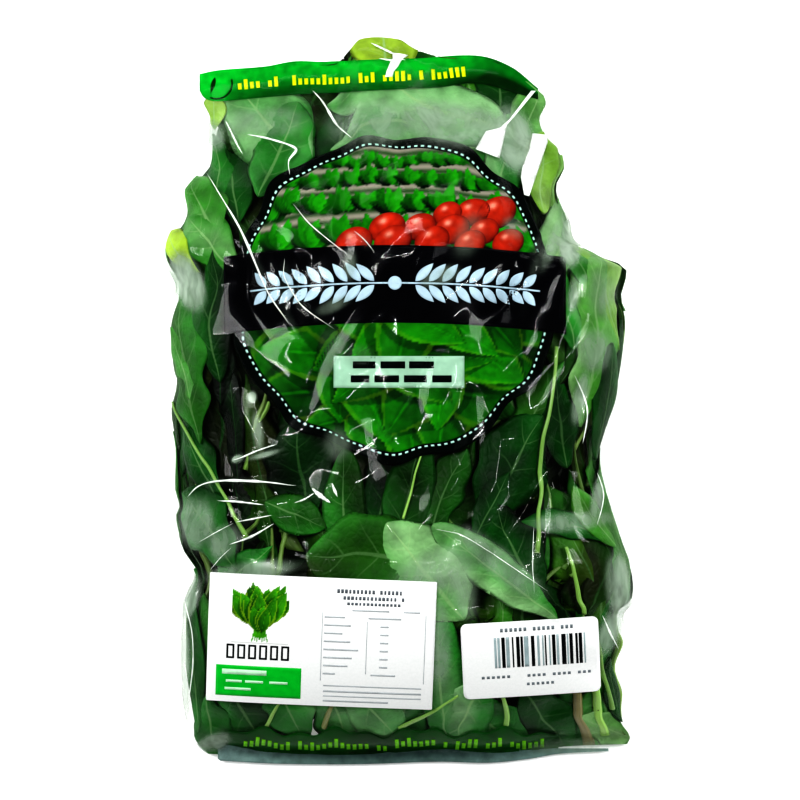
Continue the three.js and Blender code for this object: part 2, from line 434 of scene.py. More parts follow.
def rocketLeafBlade():
    # fresh rocket leaf: matt waxy green with a pale midrib and side veins; its tone carries painted shade
    # where it lies deep in the bag
    leaf = {"deep": "#021004", "mid": "#064a0c", "light": "#348434", "pale": "#86b07e", "warm": "#a6c42c",
            "ribDark": "#145018", "ribPale": "#9cc088", "sideVeins": 8}
    m = newMaterial("rocketLeafBlade")
    tone = addNode(m, "Attribute", attribute_name="tone").outputs["Fac"]
    warmth = addNode(m, "Attribute", attribute_name="warmth").outputs["Fac"]
    uv = addNode(m, "UVMap", uv_map="UVMap").outputs[0]
    split = addNode(m, "SeparateXYZ", {0: uv})
    fromRib = addNode(m, "Math", {0: split, 1: 0.5}, operation="SUBTRACT")
    fromRib = addNode(m, "Math", {0: fromRib}, operation="ABSOLUTE")
    place = addNode(m, "TexCoord").outputs["Object"]
    mottle = addNode(m, "TexNoise", {"Vector": place, "Scale": 85.0, "Detail": 4.0})
    base = linear(leaf["deep"])
    for low, high, greener in ((0, 0.36, leaf["mid"]), (0.36, 0.7, leaf["light"]), (0.7, 1, leaf["pale"])):
        part = addNode(m, "MapRange", {"Value": tone, 1: low, 2: high})
        base = addNode(m, "Mix", {0: part, 6: base, 7: linear(greener)}, data_type="RGBA")
    base = addNode(m, "Mix", {0: warmth, 6: base, 7: linear(leaf["warm"])}, data_type="RGBA")
    shade = addNode(m, "MapRange", {"Value": mottle, 1: 0.3, 2: 0.7, 3: 0.66, 4: 1.3})
    base = addNode(m, "VectorMath", {0: base, "Scale": shade}, operation="SCALE")
    # side veins rise from the midrib towards the tip: stripes of v * count - slope * distance from the rib
    lean = addNode(m, "Math", {0: fromRib, 1: -3.4}, operation="MULTIPLY")
    count = addNode(m, "Math", {0: split.outputs[1], 1: float(leaf["sideVeins"]), 2: lean},
                    operation="MULTIPLY_ADD")
    wobble = addNode(m, "Math", {0: mottle, 1: 0.35, 2: count}, operation="MULTIPLY_ADD")
    stripe = addNode(m, "Math", {0: wobble, 1: 1.0}, operation="PINGPONG")
    vein = addNode(m, "MapRange", {"Value": stripe, 1: 0.0, 2: 0.1, 3: 1.0, 4: 0.0},
                   interpolation_type="SMOOTHSTEP")
    fade = addNode(m, "MapRange", {"Value": fromRib, 1: 0.05, 2: 0.46, 3: 0.4, 4: 0.0})
    vein = addNode(m, "Math", {0: vein, 1: fade}, operation="MULTIPLY")
    ribWidth = addNode(m, "MapRange", {"Value": split.outputs[1], 1: 0.0, 2: 0.95, 3: 0.05, 4: 0.008})
    rib = addNode(m, "Math", {0: fromRib, 1: ribWidth}, operation="DIVIDE")
    rib = addNode(m, "MapRange", {"Value": rib, 1: 0.4, 2: 1.2, 3: 0.6, 4: 0.0},
                  interpolation_type="SMOOTHSTEP")
    lines = addNode(m, "Math", {0: vein, 1: rib}, operation="MAXIMUM")
    pale = addNode(m, "Mix", {0: tone, 6: linear(leaf["ribDark"]), 7: linear(leaf["ribPale"])},
                   data_type="RGBA")
    colour = addNode(m, "Mix", {0: lines, 6: base, 7: pale}, data_type="RGBA")
    cells = addNode(m, "TexVoronoi", {"Vector": place, "Scale": 260.0}, feature="DISTANCE_TO_EDGE")
    quilt = addNode(m, "MapRange", {"Value": cells, 1: 0.0, 2: 0.25, 3: 0.0, 4: 1.0})
    relief = addNode(m, "Math", {0: lines, 1: 0.9, 2: quilt}, operation="MULTIPLY_ADD")
    bump = addNode(m, "Bump", {"Strength": 0.28, "Distance": 0.0006, "Height": relief})
    blade = addNode(m, "BsdfPrincipled", {"Base Color": colour, "Roughness": 0.5,
                                          "Specular IOR Level": 0.2, "Normal": bump})
    return finishMaterial(m, blade)


def rocketStalk():
    # juicy leaf stalk: pale green, faintly ribbed along its length, glossy where wet
    m = newMaterial("rocketStalk")
    tone = addNode(m, "Attribute", attribute_name="tone").outputs["Fac"]
    warmth = addNode(m, "Attribute", attribute_name="warmth").outputs["Fac"]
    uv = addNode(m, "UVMap", uv_map="UVMap").outputs[0]
    ribs = addNode(m, "TexWave", {"Vector": uv, "Scale": 2.2, "Distortion": 0.6, "Detail": 1.0},
                   bands_direction="X").outputs["Fac"]
    base = addNode(m, "Mix", {0: tone, 6: linear("#1f5a1c"), 7: linear("#a4d070")}, data_type="RGBA")
    base = addNode(m, "Mix", {0: warmth, 6: base, 7: linear("#8a6f52")}, data_type="RGBA")
    shade = addNode(m, "MapRange", {"Value": ribs, 3: 0.82, 4: 1.12})
    base = addNode(m, "VectorMath", {0: base, "Scale": shade}, operation="SCALE")
    bump = addNode(m, "Bump", {"Strength": 0.25, "Distance": 0.0004, "Height": ribs})
    stalk = addNode(m, "BsdfPrincipled", {"Base Color": base, "Roughness": 0.35, "Normal": bump})
    return finishMaterial(m, stalk)


def packedLeafShadow():
    # the heap of leaves below the ones that show: nearly black green as painted shade, broken up at leaf
    # scale
    m = newMaterial("packedLeafShadow")
    place = addNode(m, "TexCoord").outputs["Object"]
    leaves = addNode(m, "TexVoronoi", {"Vector": place, "Scale": 55.0})
    noise = addNode(m, "TexNoise", {"Vector": place, "Scale": 60.0, "Detail": 4.0})
    fac = addNode(m, "Math", {0: leaves, 1: noise}, operation="MULTIPLY")
    colour = addNode(m, "Mix", {0: fac, 6: linear("#020d04"), 7: linear("#0f4412")}, data_type="RGBA")
    return finishMaterial(m, addNode(m, "BsdfPrincipled", {"Base Color": colour, "Roughness": 0.7,
                                                          "Specular IOR Level": 0.1}))


def clearPolypropyleneFilm():
    # 30 micron clear film: see-through with sharp gloss, milky where it is crumpled or doubled and where a
    #                       painted sheen stands for its reflections
    sheet = {"gloss": 0.015, "roughness": 0.05, "ripple": 42.0, "milkAndSheen": "#a9bca9"}
    m = newMaterial("clearPolypropyleneFilm")
    hazeAndSheen = addNode(m, "Attribute", attribute_name="hazeAndSheen").outputs["Fac"]
    place = addNode(m, "TexCoord").outputs["Object"]
    stretch = addNode(m, "Mapping", {"Vector": place, "Scale": (1.0, 0.45, 1.0)})
    ripple = addNode(m, "TexNoise", {"Vector": stretch, "Scale": sheet["ripple"], "Detail": 1.5})
    bump = addNode(m, "Bump", {"Strength": 0.14, "Distance": 0.001, "Height": ripple})
    clear = addNode(m, "BsdfTransparent")
    gloss = addNode(m, "BsdfGlossy", {"Roughness": sheet["roughness"], "Normal": bump})
    mirror = addNode(m, "Fresnel", {"IOR": 1.5, "Normal": bump})
    mirror = addNode(m, "Math", {0: mirror, 1: sheet["gloss"]}, operation="MINIMUM")
    glossy = addNode(m, "MixShader", {0: mirror, 1: clear, 2: gloss})
    milkAndSheen = addNode(m, "BsdfPrincipled", {"Base Color": linear(sheet["milkAndSheen"]), "Roughness": 0.3})
    # a milky place, crumpled film and painted sheen alike, thins out unevenly to its sides, and streaks along
    # the bag vary it
    cloud = addNode(m, "TexNoise", {"Vector": place, "Scale": 34.0, "Detail": 2.0, "Distortion": 0.3})
    spread = addNode(m, "Math", {0: cloud, 1: 0.5, 2: hazeAndSheen}, operation="MULTIPLY_ADD")
    inside = addNode(m, "MapRange", {"Value": spread, 1: 0.25, 2: 0.85}, interpolation_type="SMOOTHSTEP")
    warp = addNode(m, "VectorMath", {0: cloud.outputs["Color"], "Scale": 0.02}, operation="SCALE")
    warp = addNode(m, "VectorMath", {0: place, 1: warp}, operation="ADD")
    warp = addNode(m, "Mapping", {"Vector": warp, "Scale": (1.0, 0.3, 1.0)})
    streak = addNode(m, "TexNoise", {"Vector": warp, "Scale": 150.0, "Detail": 3.0})
    streak = addNode(m, "MapRange", {"Value": streak, 1: 0.35, 2: 0.65, 3: 0.6, 4: 1.1})
    share = addNode(m, "Math", {0: hazeAndSheen, 1: streak}, operation="MULTIPLY")
    milkAndSheenShare = addNode(m, "Math", {0: share, 1: inside}, operation="MULTIPLY", use_clamp=True)
    return finishMaterial(m, addNode(m, "MixShader", {0: milkAndSheenShare, 1: glossy, 2: milkAndSheen}))


def printedInk(name, hexColour, see=0.0, patchy=0.12, roughness=0.3):
    # ink on film or paper: one colour with slightly uneven laydown, see-through by its share see
    m = newMaterial(name)
    place = addNode(m, "TexCoord").outputs["Object"]
    uneven = addNode(m, "TexNoise", {"Vector": place, "Scale": 160.0, "Detail": 3.0})
    shade = addNode(m, "MapRange", {"Value": uneven, 1: 0.3, 2: 0.7, 3: 1 - patchy, 4: 1 + patchy})
    colour = addNode(m, "VectorMath", {0: linear(hexColour)[:3], "Scale": shade}, operation="SCALE")
    ink = addNode(m, "BsdfPrincipled", {"Base Color": colour, "Roughness": roughness,
                                        "Specular IOR Level": 0.06})
    if not see:
        return finishMaterial(m, ink)
    clear = addNode(m, "BsdfTransparent", {"Color": linear(hexColour)})
    return finishMaterial(m, addNode(m, "MixShader", {0: see, 1: ink, 2: clear}))


def coatedLabelPaper():
    # self-adhesive label paper: bright white, smooth, with faint fibres
    m = newMaterial("coatedLabelPaper")
    place = addNode(m, "TexCoord").outputs["Object"]
    fibre = addNode(m, "TexNoise", {"Vector": place, "Scale": 900.0, "Detail": 4.0})
    colour = addNode(m, "Mix", {0: fibre, 6: linear("#eef1ef"), 7: linear("#fdfefd")}, data_type="RGBA")
    bump = addNode(m, "Bump", {"Strength": 0.08, "Distance": 0.0002, "Height": fibre})
    paper = addNode(m, "BsdfPrincipled", {"Base Color": colour, "Roughness": 0.45, "Normal": bump})
    return finishMaterial(m, paper)


leafBlade = rocketLeafBlade()
stalkGreen = rocketStalk()
film = clearPolypropyleneFilm()
labelPaper = coatedLabelPaper()

# Leaves. A leaf is a lens in two parameters: s along its midrib and a turn round its thin section.
leafShape = {"thickness": 0.4, "rib": 0.9, "ribHalfWidth": 1.1, "paintedShadePerMillimetre": 0.03}
leafRanges = {
    "bend": (-0.1, 0.1), "lobes": (2.2, 3.6), "lobeDepth": (0.05, 0.4), "phase": (0, 2 * np.pi),
    "curl": (0.6, 3.2), "ripple": (0.3, 1.3), "peak": (0.95, 1.45), "blunt": (0.5, 0.8),
}
# Painted light and shade among the leaves of the front, painted shadow below zero: x, y, half-width,
# half-length, turn in degrees, and change of tone
paintedLightAndShade = np.array([
    [-88, 2, 12, 30, 5, -0.5], [-64, -26, 22, 22, 0, -0.5], [-46, -30, 18, 16, 0, -0.3],
    [-86, 40, 8, 26, 0, -0.3], [-10, -38, 50, 9, 0, -0.4], [-48, -84, 14, 6, 20, -0.5],
    [48, -40, 22, 16, 20, -0.45], [62, -62, 10, 14, 0, -0.3], [92, -86, 12, 16, 0, -0.5],
    [-72, 108, 16, 14, 30, -0.5], [-46, 146, 8, 12, -20, -0.5], [0, -168, 110, 10, 0, -0.5],
    [0, -146, 6, 12, 30, -0.5], [40, -158, 6, 14, 0, -0.5], [78, -20, 12, 22, 0, -0.3],
    [-100, 20, 10, 34, 0, 0.15], [88, 40, 14, 34, -8, 0.12], [10, 134, 60, 12, 0, 0.18],
    [-90, -76, 16, 16, 0, 0.12], [20, -84, 40, 14, 0, 0.12],

])


def leafBatch(base, tip, width, depth, tone, warmth, seed, lobeDepth=None):
    # every leaf of a batch, from its base and tip in millimetres of film, with its own draws within ranges
    draw = np.random.default_rng(seed)
    run = tip - base
    batch = {"base": base, "length": np.linalg.norm(run, axis=1), "turn": np.arctan2(run[:, 0], run[:, 1]),
             "width": width, "depth": depth, "tone": tone, "warmth": warmth}
    for key, (low, high) in leafRanges.items():
        given = key == "lobeDepth" and lobeDepth is not None
        batch[key] = lobeDepth if given else draw.uniform(low, high, len(width))
    return batch


def leafSurface(batch, s, c, side):
    # a and b across the film and the depth under it: outline sin(pi s^peak)^blunt with lobes, a sunk and
    # waved margin, and an arched midrib. side is 0 on the outer face and 1 on the inner one
    g = {k: v[:, None, None] for k, v in batch.items() if k != "base"}
    s, c, side = s[None, :, None], c[None, None, :], side[None, None, :]
    outline = np.sin(np.pi * s ** g["peak"]) ** g["blunt"]
    outline = outline * (1 + g["lobeDepth"] * (1.15 - s) * np.sin(2 * np.pi * g["lobes"] * s + g["phase"]))
    halfWidth = g["width"] / 2 * np.maximum(outline, 0.02)
    sway = g["bend"] * g["length"] * (s * s - s) * 2
    a, b = turned(c * halfWidth + sway, s * g["length"], g["turn"])
    baseA, baseB = batch["base"].T[:, :, None, None]
    wave = np.sin(2 * np.pi * (1.7 * s + 0.35 * np.sign(c)) + g["phase"]) + 1
    sink = g["curl"] * c ** 2 * (0.4 + s) + g["ripple"] * wave * np.abs(c) ** 1.5
    body = leafShape["thickness"] * np.sqrt(np.maximum(1 - c ** 2, 0))
    body = body + leafShape["rib"] * np.exp(-((c * halfWidth / leafShape["ribHalfWidth"]) ** 2)) * (1.1 - s)
    return baseA + a, baseB + b, g["depth"] + sink + side * body


def placeStrength(x, y, place, power):
    # exp(-distance^power) of a tilted ellipse: 1 in its middle, falling off outside its two half-lengths
    placeX, placeY, halfWidth, halfLength, turn, strength = place
    w, l = turned(x - placeX, y - placeY, np.radians(turn))
    return strength * np.exp(-np.hypot(l / halfLength, w / halfWidth) ** power)


def paintedLightAndShadeAt(points):
    # painted light and shade: change of tone at points of the front
    x, y, z = points.T
    total = sum(placeStrength(x, y, place, 2) for place in paintedLightAndShade)
    return total * ease((z - form["sideFoldHeight"] * 0.5) / 10)


def overPoints(shape, *values):
    # each value at every point of a shape
    return [np.broadcast_to(value, shape) for value in values]


def makeLeaves(name, batch, rows, columns, lit=1.0):
    # closed lenses: each goes out over the outer face and back under the inner one
    s = np.linspace(0.004, 0.996, rows)
    c = np.linspace(-1, 1, columns)
    c = np.concatenate([c, c[-2:0:-1]])
    side = (np.arange(len(c)) >= columns).astype(float)
    a, b, depth = leafSurface(batch, s, c, side)
    points = insideSkin(a, b, depth).reshape(-1, 3)
    shape = a.shape
    uv = np.stack(overPoints(shape, 0.5 + 0.5 * c, s[:, None]), -1).reshape(-1, 2)
    tone, warmth, phase = (batch[key][:, None, None] for key in ("tone", "warmth", "phase"))
    tone, warmth = overPoints(shape, tone, warmth * np.clip(1.6 * tone, 0, 1))
    # painted shade: darker the deeper a leaf lies under the film
    under = leafShape["paintedShadePerMillimetre"] * np.maximum(depth - 3, 0)
    s, c = s[None, :, None], c[None, None, :]
    uneven = 0.1 * np.sin(phase + 2.4 * c + 4.5 * s) + 0.12 * c * np.sin(5 * phase)
    # the places of painted light and shade, scaled by lit
    tone = tone - under + uneven + lit * paintedLightAndShadeAt(points).reshape(shape)
    faces = tubeFaces(rows, c.size, len(tone))
    return meshPiece(name, points, faces, leafBlade, {"tone": tone, "warmth": warmth}, uv)


def inFilmLengths(rows):
    # plan positions in millimetres to film lengths
    return rowsOf(*toFilmLengths(rows[:, 0], rows[:, 1]))


# The leaves that the front shows best: base x, y and tip x, y in plan, width, depth, tone, warmth, lobes
shownLeaves = np.array([
    [-50, 106, -82, 158, 44, 2, 0.9, 0, 0.1],  # large pale leaf under the head band
    [-70, 100, -50, 148, 34, 1.2, 0.7, 0, 0.15], [-36, 108, -28, 152, 26, 4.6, 0.22, 0, 0.15],
    [-80, 88, -90, 126, 22, 2.6, 0.42, 0, 0.1],
    [-92, 134, -92, 152, 13, 0.6, 1, 0.5, 0],  # pale patch under the band's left end
    [-88, 74, -106, 112, 30, 1.2, 0.7, 0.06, 0.25], [-74, 56, -105, 91, 27, 0.9, 0.74, 0.05, 0.05],
    [-99, 62, -115, 84, 19, 0.3, 0.9, 0.85, 0],  # yellow-green tip at the left edge
    [-88, 8, -92, 74, 27, 0.8, 0.34, 0, 0.05], [-98, -22, -107, 56, 31, 0.3, 0.5, 0.04, 0.35],
    [-103, 0, -113, 36, 20, 0.1, 0.64, 0.06, 0.3], [-88, -4, -88, 48, 15, 2.4, 0.08, 0, 0.1],
    [-80, -42, -84, 14, 14, 3, 0.14, 0, 0], [-90, -52, -108, -14, 22, 1.8, 0.38, 0, 0.1],
    [-80, -84, -108, -46, 34, 0.8, 0.52, 0, 0.2], [-62, -72, -94, -94, 22, 1.6, 0.6, 0, 0.1],
    [-46, -62, -50, -10, 36, 2.8, 0.26, 0, 0.1], [-66, -50, -36, -63, 20, 1.4, 0.5, 0.03, 0],
    [-24, -76, -27, -24, 23, 1.5, 0.46, 0.03, 0],  # narrow folded leaf below the panel
    [-1, -74, 12, -14, 24, 1.9, 0.34, 0.02, 0.1], [14, -74, 33, -24, 22, 2.5, 0.42, 0.03, 0.2],
    [-14, -72, -3, -24, 25, 3, 0.22, 0, 0.2], [36, -70, 54, -35, 18, 1.7, 0.36, 0, 0.15],
    [40, -60, 72, -8, 40, 2.8, 0.36, 0, 0.1],
    [24, -84, -46, -76, 42, 0.7, 0.42, 0.06, 0.15],  # broad olive leaf above the labels
    [32, -108, -6, -60, 44, 0.35, 0.92, 0.04, 0.1],
    [78, -108, 16, -61, 23, 0.15, 0.86, 0.03, 0.05],  # pale folded leaf running down to the right
    [70, -98, 48, -50, 30, 1.6, 0.3, 0, 0.05], [108, -72, 86, -42, 18, 1, 0.66, 0.1, 0],
    [106, -70, 60, -59, 15, 1.9, 0.56, 0, 0.05], [98, -30, 106, 28, 25, 0.5, 0.3, 0, 0],
    [90, -14, 107, 76, 34, 0.8, 0.76, 0.1, 0.3],  # tall pale leaf at the right edge
    [86, 24, 78, 66, 18, 0.6, 0.6, 0, 0.05], [97, 50, 79, 80, 19, 1.2, 0.58, 0.03, 0.1],
    [84, -34, 78, 12, 26, 3.2, 0.36, 0, 0.1], [70, 56, 83, 100, 23, 0.8, 0.88, 0.05, 0.05],
    [72, 92, 78, 133, 22, 0.5, 0.84, 0.4, 0], [48, 98, 62, 142, 28, 1.8, 0.8, 0, 0.05],
    [60, 118, 72, 157, 22, 1.2, 0.8, 0.08, 0.1],
    [60, 128, -36, 146, 38, 1.2, 0.9, 0, 0.1],  # pale leaf lying crosswise under the head band
    [14, 116, 64, 138, 30, 2, 0.86, 0, 0.1],
    [-7, 154, -9, 188, 38, 0.5, 0.95, 0.8, 0],  # tip that lifts the head
    [50, 138, 48, 168, 26, 2.2, 0.3, 0, 0.1], [22, 140, 24, 172, 20, 2.8, 0.42, 0.1, 0.1],
    [26, -174, 20, -100, 27, 1, 0.78, 0, 0.05],  # pale leaf between the labels
    [102, -156, 108, -100, 20, 3.5, 0.5, 0, 0.1], [-100, -166, -104, -84, 18, 1, 0.5, 0, 0.1],
    [-86, -136, -62, -176, 32, 1.8, 0.36, 0, 0.2],  # leaves bent over at the foot
    [-60, -138, -46, -170, 25, 1.2, 0.7, 0, 0.2], [-38, -140, -26, -174, 26, 2.2, 0.78, 0, 0.2],
    [-30, -136, 2, -170, 27, 1, 0.94, 0, 0], [6, -142, -6, -179, 28, 2.4, 0.56, 0, 0.1],
    [42, -138, 29, -173, 28, 0.9, 0.9, 0, 0], [34, -146, 64, -174, 26, 2, 0.7, 0, 0.1],
    [60, -142, 84, -176, 28, 2.2, 0.34, 0, 0.25], [102, -138, 108, -181, 34, 3.4, 0.8, 0.05, 0.1],
    [88, -134, 96, -181, 30, 4.6, 0.5, 0, 0.1], [90, -158, 116, -168, 20, 1.6, 1, 0.1, 0.1],
    [106, -128, 112, -160, 17, 1.8, 0.3, 0, 0.1], [-96, -146, -90, -178, 24, 1, 0.52, 0, 0.1],
    [-34, 124, 36, 141, 32, 1.5, 0.84, 0, 0.1],  # pale leaves that fill up to the panel's rim and the outline
    [60, 116, 72, 158, 24, 2.6, 0.82, 0.06, 0.1], [80, 84, 85, 122, 22, 2, 0.72, 0.25, 0.1],
    [-90, 96, -95, 132, 20, 2, 0.56, 0, 0.1], [110, 24, 115, 90, 30, 1.2, 0.86, 0.3, 0.1],
    [108, -14, 112, 40, 18, 2, 0.24, 0, 0],

])


def shownBatch():
    # the listed leaves, flatter than the others. A tip above this y is blunt, as it lifts the head
    rows, bluntAbove = shownLeaves, 178
    base, tip = inFilmLengths(rows[:, :2]), inFilmLengths(rows[:, 2:4])
    batch = leafBatch(base, tip, *rows[:, 4:8].T, 11, rows[:, 8])
    for key, value in (("peak", 2.6), ("blunt", 0.4)):
        batch[key] = np.where(rows[:, 3] > bluntAbove, value, batch[key])
    batch["curl"] *= 0.35
    batch["ripple"] *= 0.4
    return batch


def pressedBatch():
    # the leaves that lift the film in the part, at their places there
    x, y, turn, halfLength, halfWidth, lift = pressedLeaves.T
    keep = (np.abs(across(x, y)) < 0.96) & (y < along(headEnd, x) - 12) & (y > along(footEnd, x) + 14)
    x, y, turn, halfLength, halfWidth, lift = (v[keep] for v in (x, y, turn, halfLength, halfWidth, lift))
    middle = rowsOf(*toFilmLengths(x, y))
    reach = ahead(-turn) * halfLength[:, None]
    draw = np.random.default_rng(23)
    depth = 3.0 + 7.0 * draw.permutation(len(x)) / len(x)
    tone, warmth = draw.uniform(0.12, 0.7, len(x)), draw.uniform(0, 0.12, len(x))
    return leafBatch(middle - reach, middle + reach, halfWidth * 1.9, depth, tone, warmth, 29)


def looseBatch(count, low, high, tones, seed, away=0.0):
    # leaves strewn all round the bag between two depths, stalks towards the foot. away keeps them off the
    # front
    draw = np.random.default_rng(seed)
    q = draw.uniform(-1, 1, count)
    if away:
        q = np.where(q < 0, -1, 1) * mix(away, 1, np.abs(q))
    base = rowsOf(q * halfGirth, draw.uniform(0.04, 0.8, count) * bagLength)
    length = draw.uniform(58, 96, count)
    tip = base + ahead(draw.uniform(-0.6, 0.6, count)) * length[:, None]
    tip[:, 1] = np.minimum(tip[:, 1], bagLength * 0.965)
    depth = mix(low, high, draw.permutation(count) / count)
    return leafBatch(base, tip, draw.uniform(24, 40, count), depth, draw.uniform(*tones, count),
                     draw.uniform(0, 0.08, count), seed + 1)


def nearShown(batch, reach):
    # 1 for each leaf whose middle lies within a reach of the midrib of one of the shown leaves
    middle = batch["base"] + ahead(batch["turn"]) * batch["length"][:, None] / 2
    run = ahead(shown["turn"])
    offset = middle[:, None] - shown["base"][None]
    t = np.clip((offset * run).sum(-1), 0, shown["length"])
    return (np.linalg.norm(offset - t[..., None] * run, axis=-1).min(1) < reach) * 1.0


shown, pressed = shownBatch(), pressedBatch()
sides = looseBatch(190, 0.3, 6.5, (0.25, 0.8), 41, away=0.4)
sides["curl"] *= 0.3
sides["ripple"] *= 0.3
sides["depth"] = sides["depth"] + 2.6 * nearShown(sides, 15.0)
# the deep leaves take darker tones, painted shade deep in the pack
deep = looseBatch(190, 9.0, 15.0, (0.1, 0.4), 53)
makeLeaves("shownLeaves", shown, 34, 13, lit=0.3)
makeLeaves("pressedLeaves", pressed, 26, 11)
makeLeaves("sideLeaves", sides, 22, 9)
makeLeaves("deepLeaves", deep, 16, 7)

# Stalks: base x, y and tip x, y in plan, diameter, depth, tone, browning
shownStalks = np.array([
    [-75, -68, -113, -1, 2.2, 0.4, 0.6, 0],  # long stalk down the left side
    [68, -75, 78, 26, 2.6, 0.3, 0.6, 0],  # long stalk down the right side
    [92, -106, 83, -72, 2.6, 0.6, 0.7, 0],
    [102.5, -167, 95, -118, 6, 0.2, 1, 0],  # thick cut stalk at the foot
    [107, -154, 99, -118, 4.2, 0.8, 0.6, 0], [94.5, -172, 90, -118, 6.4, 0.8, 0.6, 0.75],
    [0, -163, 29, -146, 2, 0.3, 0.8, 0], [53, -162, 51, -146, 3.2, 0.5, 0.8, 0],
    [-37, -163, -32, -150, 3, 0.5, 0.6, 0.6], [-66, -163, -59, -150, 2.4, 0.5, 0.75, 0.1],
    [2, -58, 12, -22, 1.4, 0.3, 0.9, 0],

])


def makeStalks(name, base, tip, diameter, depth, tone, warmth, rows=18, sides=10):
    # tubes along gently swaying lines just under the film, thinner towards the leaf
    s = np.linspace(0, 1, rows)[None, :, None]
    turn = np.linspace(0, 2 * np.pi, sides, endpoint=False)[None, None, :]
    run = tip - base
    length = np.linalg.norm(run, axis=1)[:, None, None]
    runA, runB = run.T[:, :, None, None] / length
    baseA, baseB = base.T[:, :, None, None]
    draw = np.random.default_rng(len(base))
    sway = draw.uniform(-0.04, 0.04, len(base))[:, None, None] * length * (s * s - s) * 4
    radius = diameter[:, None, None] / 2 * mix(1.0, 0.62, s)
    w = sway + radius * np.sin(turn)
    a, b = baseA + runA * s * length + runB * w, baseB + runB * s * length - runA * w
    under = (depth + diameter / 2)[:, None, None] - radius * np.cos(turn)
    points = insideSkin(a, b, under).reshape(-1, 3)
    uv = np.stack(overPoints(a.shape, turn / 2 / np.pi, s), -1).reshape(-1, 2)
    tone, warmth = overPoints(a.shape, tone[:, None, None], warmth[:, None, None])
    faces = tubeFaces(rows, sides, len(base))
    return meshPiece(name, points, faces, stalkGreen, {"tone": tone, "warmth": warmth}, uv)


def leafStalks(batches, reach, seed):
    # a stalk from the base of each leaf towards the foot
    draw = np.random.default_rng(seed)
    joined = {key: np.concatenate([batch[key] for batch in batches]) for key in ("base", "turn", "depth")}
    base, turn, depth = joined.values()
    count = len(base)
    turn = turn + draw.uniform(-0.3, 0.3, count)
    back = ahead(turn) * draw.uniform(0.5, 1.0, count)[:, None] * reach
    foot = base - back
    foot[:, 1] = np.clip(foot[:, 1], bagLength * 0.035, None)
    diameter, tone, warmth = (draw.uniform(*span, count) for span in ((2.2, 3.8), (0.25, 0.8), (0, 0.25)))
    return foot, base + back * 0.12, diameter, depth + 0.6, tone, warmth


stalkEnds = inFilmLengths(shownStalks[:, :2]), inFilmLengths(shownStalks[:, 2:4])
makeStalks("shownStalks", *stalkEnds, *shownStalks[:, 4:].T, rows=30)
makeStalks("leafStalks", *leafStalks([pressed, sides], 62.0, 67))


def makeCore():
    # what fills the bag below the leaves that show, a dark sheet of painted shade: the skin moved in by its
    # depth, with leaf-sized lumps
    core = {"rows": 90, "columns": 120, "foot": 0.07, "head": 0.86, "depth": 15.5, "closed": 21.6,
            "lump": 2.2}
    v = np.linspace(core["foot"], core["head"], core["rows"])[:, None]
    q = wrapTurn(np.linspace(-1, 1, core["columns"], endpoint=False))[None, :]
    q, v = np.broadcast_arrays(q, v)
    a, b = q * halfRound(v, q), v * bagLength
    fromEnd = np.minimum(v - core["foot"], core["head"] - v)
    lump = np.sin(a / 7.1 + np.sin(b / 13.0) * 2) * np.sin(b / 9.3 + np.sin(a / 17.0) * 2)
    lump = lump * ease(fromEnd / 0.05)
    depth = mix(core["closed"], core["depth"] + core["lump"] * lump, ease(fromEnd / 0.04) ** 0.5)
    points = insideSkin(a, b, depth).reshape(-1, 3)
    return meshPiece("leafCore", points, roundFaces(q), packedLeafShadow())


makeCore()

# Film. Its rise over the skin is a grid like the skin's: it rests on the outermost leaves and spans between
# them.
filmShape = {
    "clearance": 0.5, "relaxSteps": 420, "rows": 342, "fineTurn": 0.62, "fineColumns": 236,
    "coarseColumns": 28,
}
riseRows, riseColumns = 364, 480


def leafTops(batches):
    # how near the skin the outermost leaf lies at each place, as a rise, -20 where there is none
    tops = np.full((riseRows, riseColumns), -20.0)
    s, c = np.linspace(0, 1, 80), np.linspace(-1, 1, 34)
    for batch in batches:
        a, b, depth = leafSurface(batch, s, c, np.zeros(len(c)))
        v = np.clip(b / bagLength, 0, 1)
        q = wrapTurn(a / halfRound(v, a))
        i = np.rint(v * (riseRows - 1)).astype(int)
        k = np.rint((q + 1) / 2 * riseColumns).astype(int) % riseColumns
        np.maximum.at(tops, (i.ravel(), k.ravel()), (-depth * roomAt(v)).ravel())
    return tops
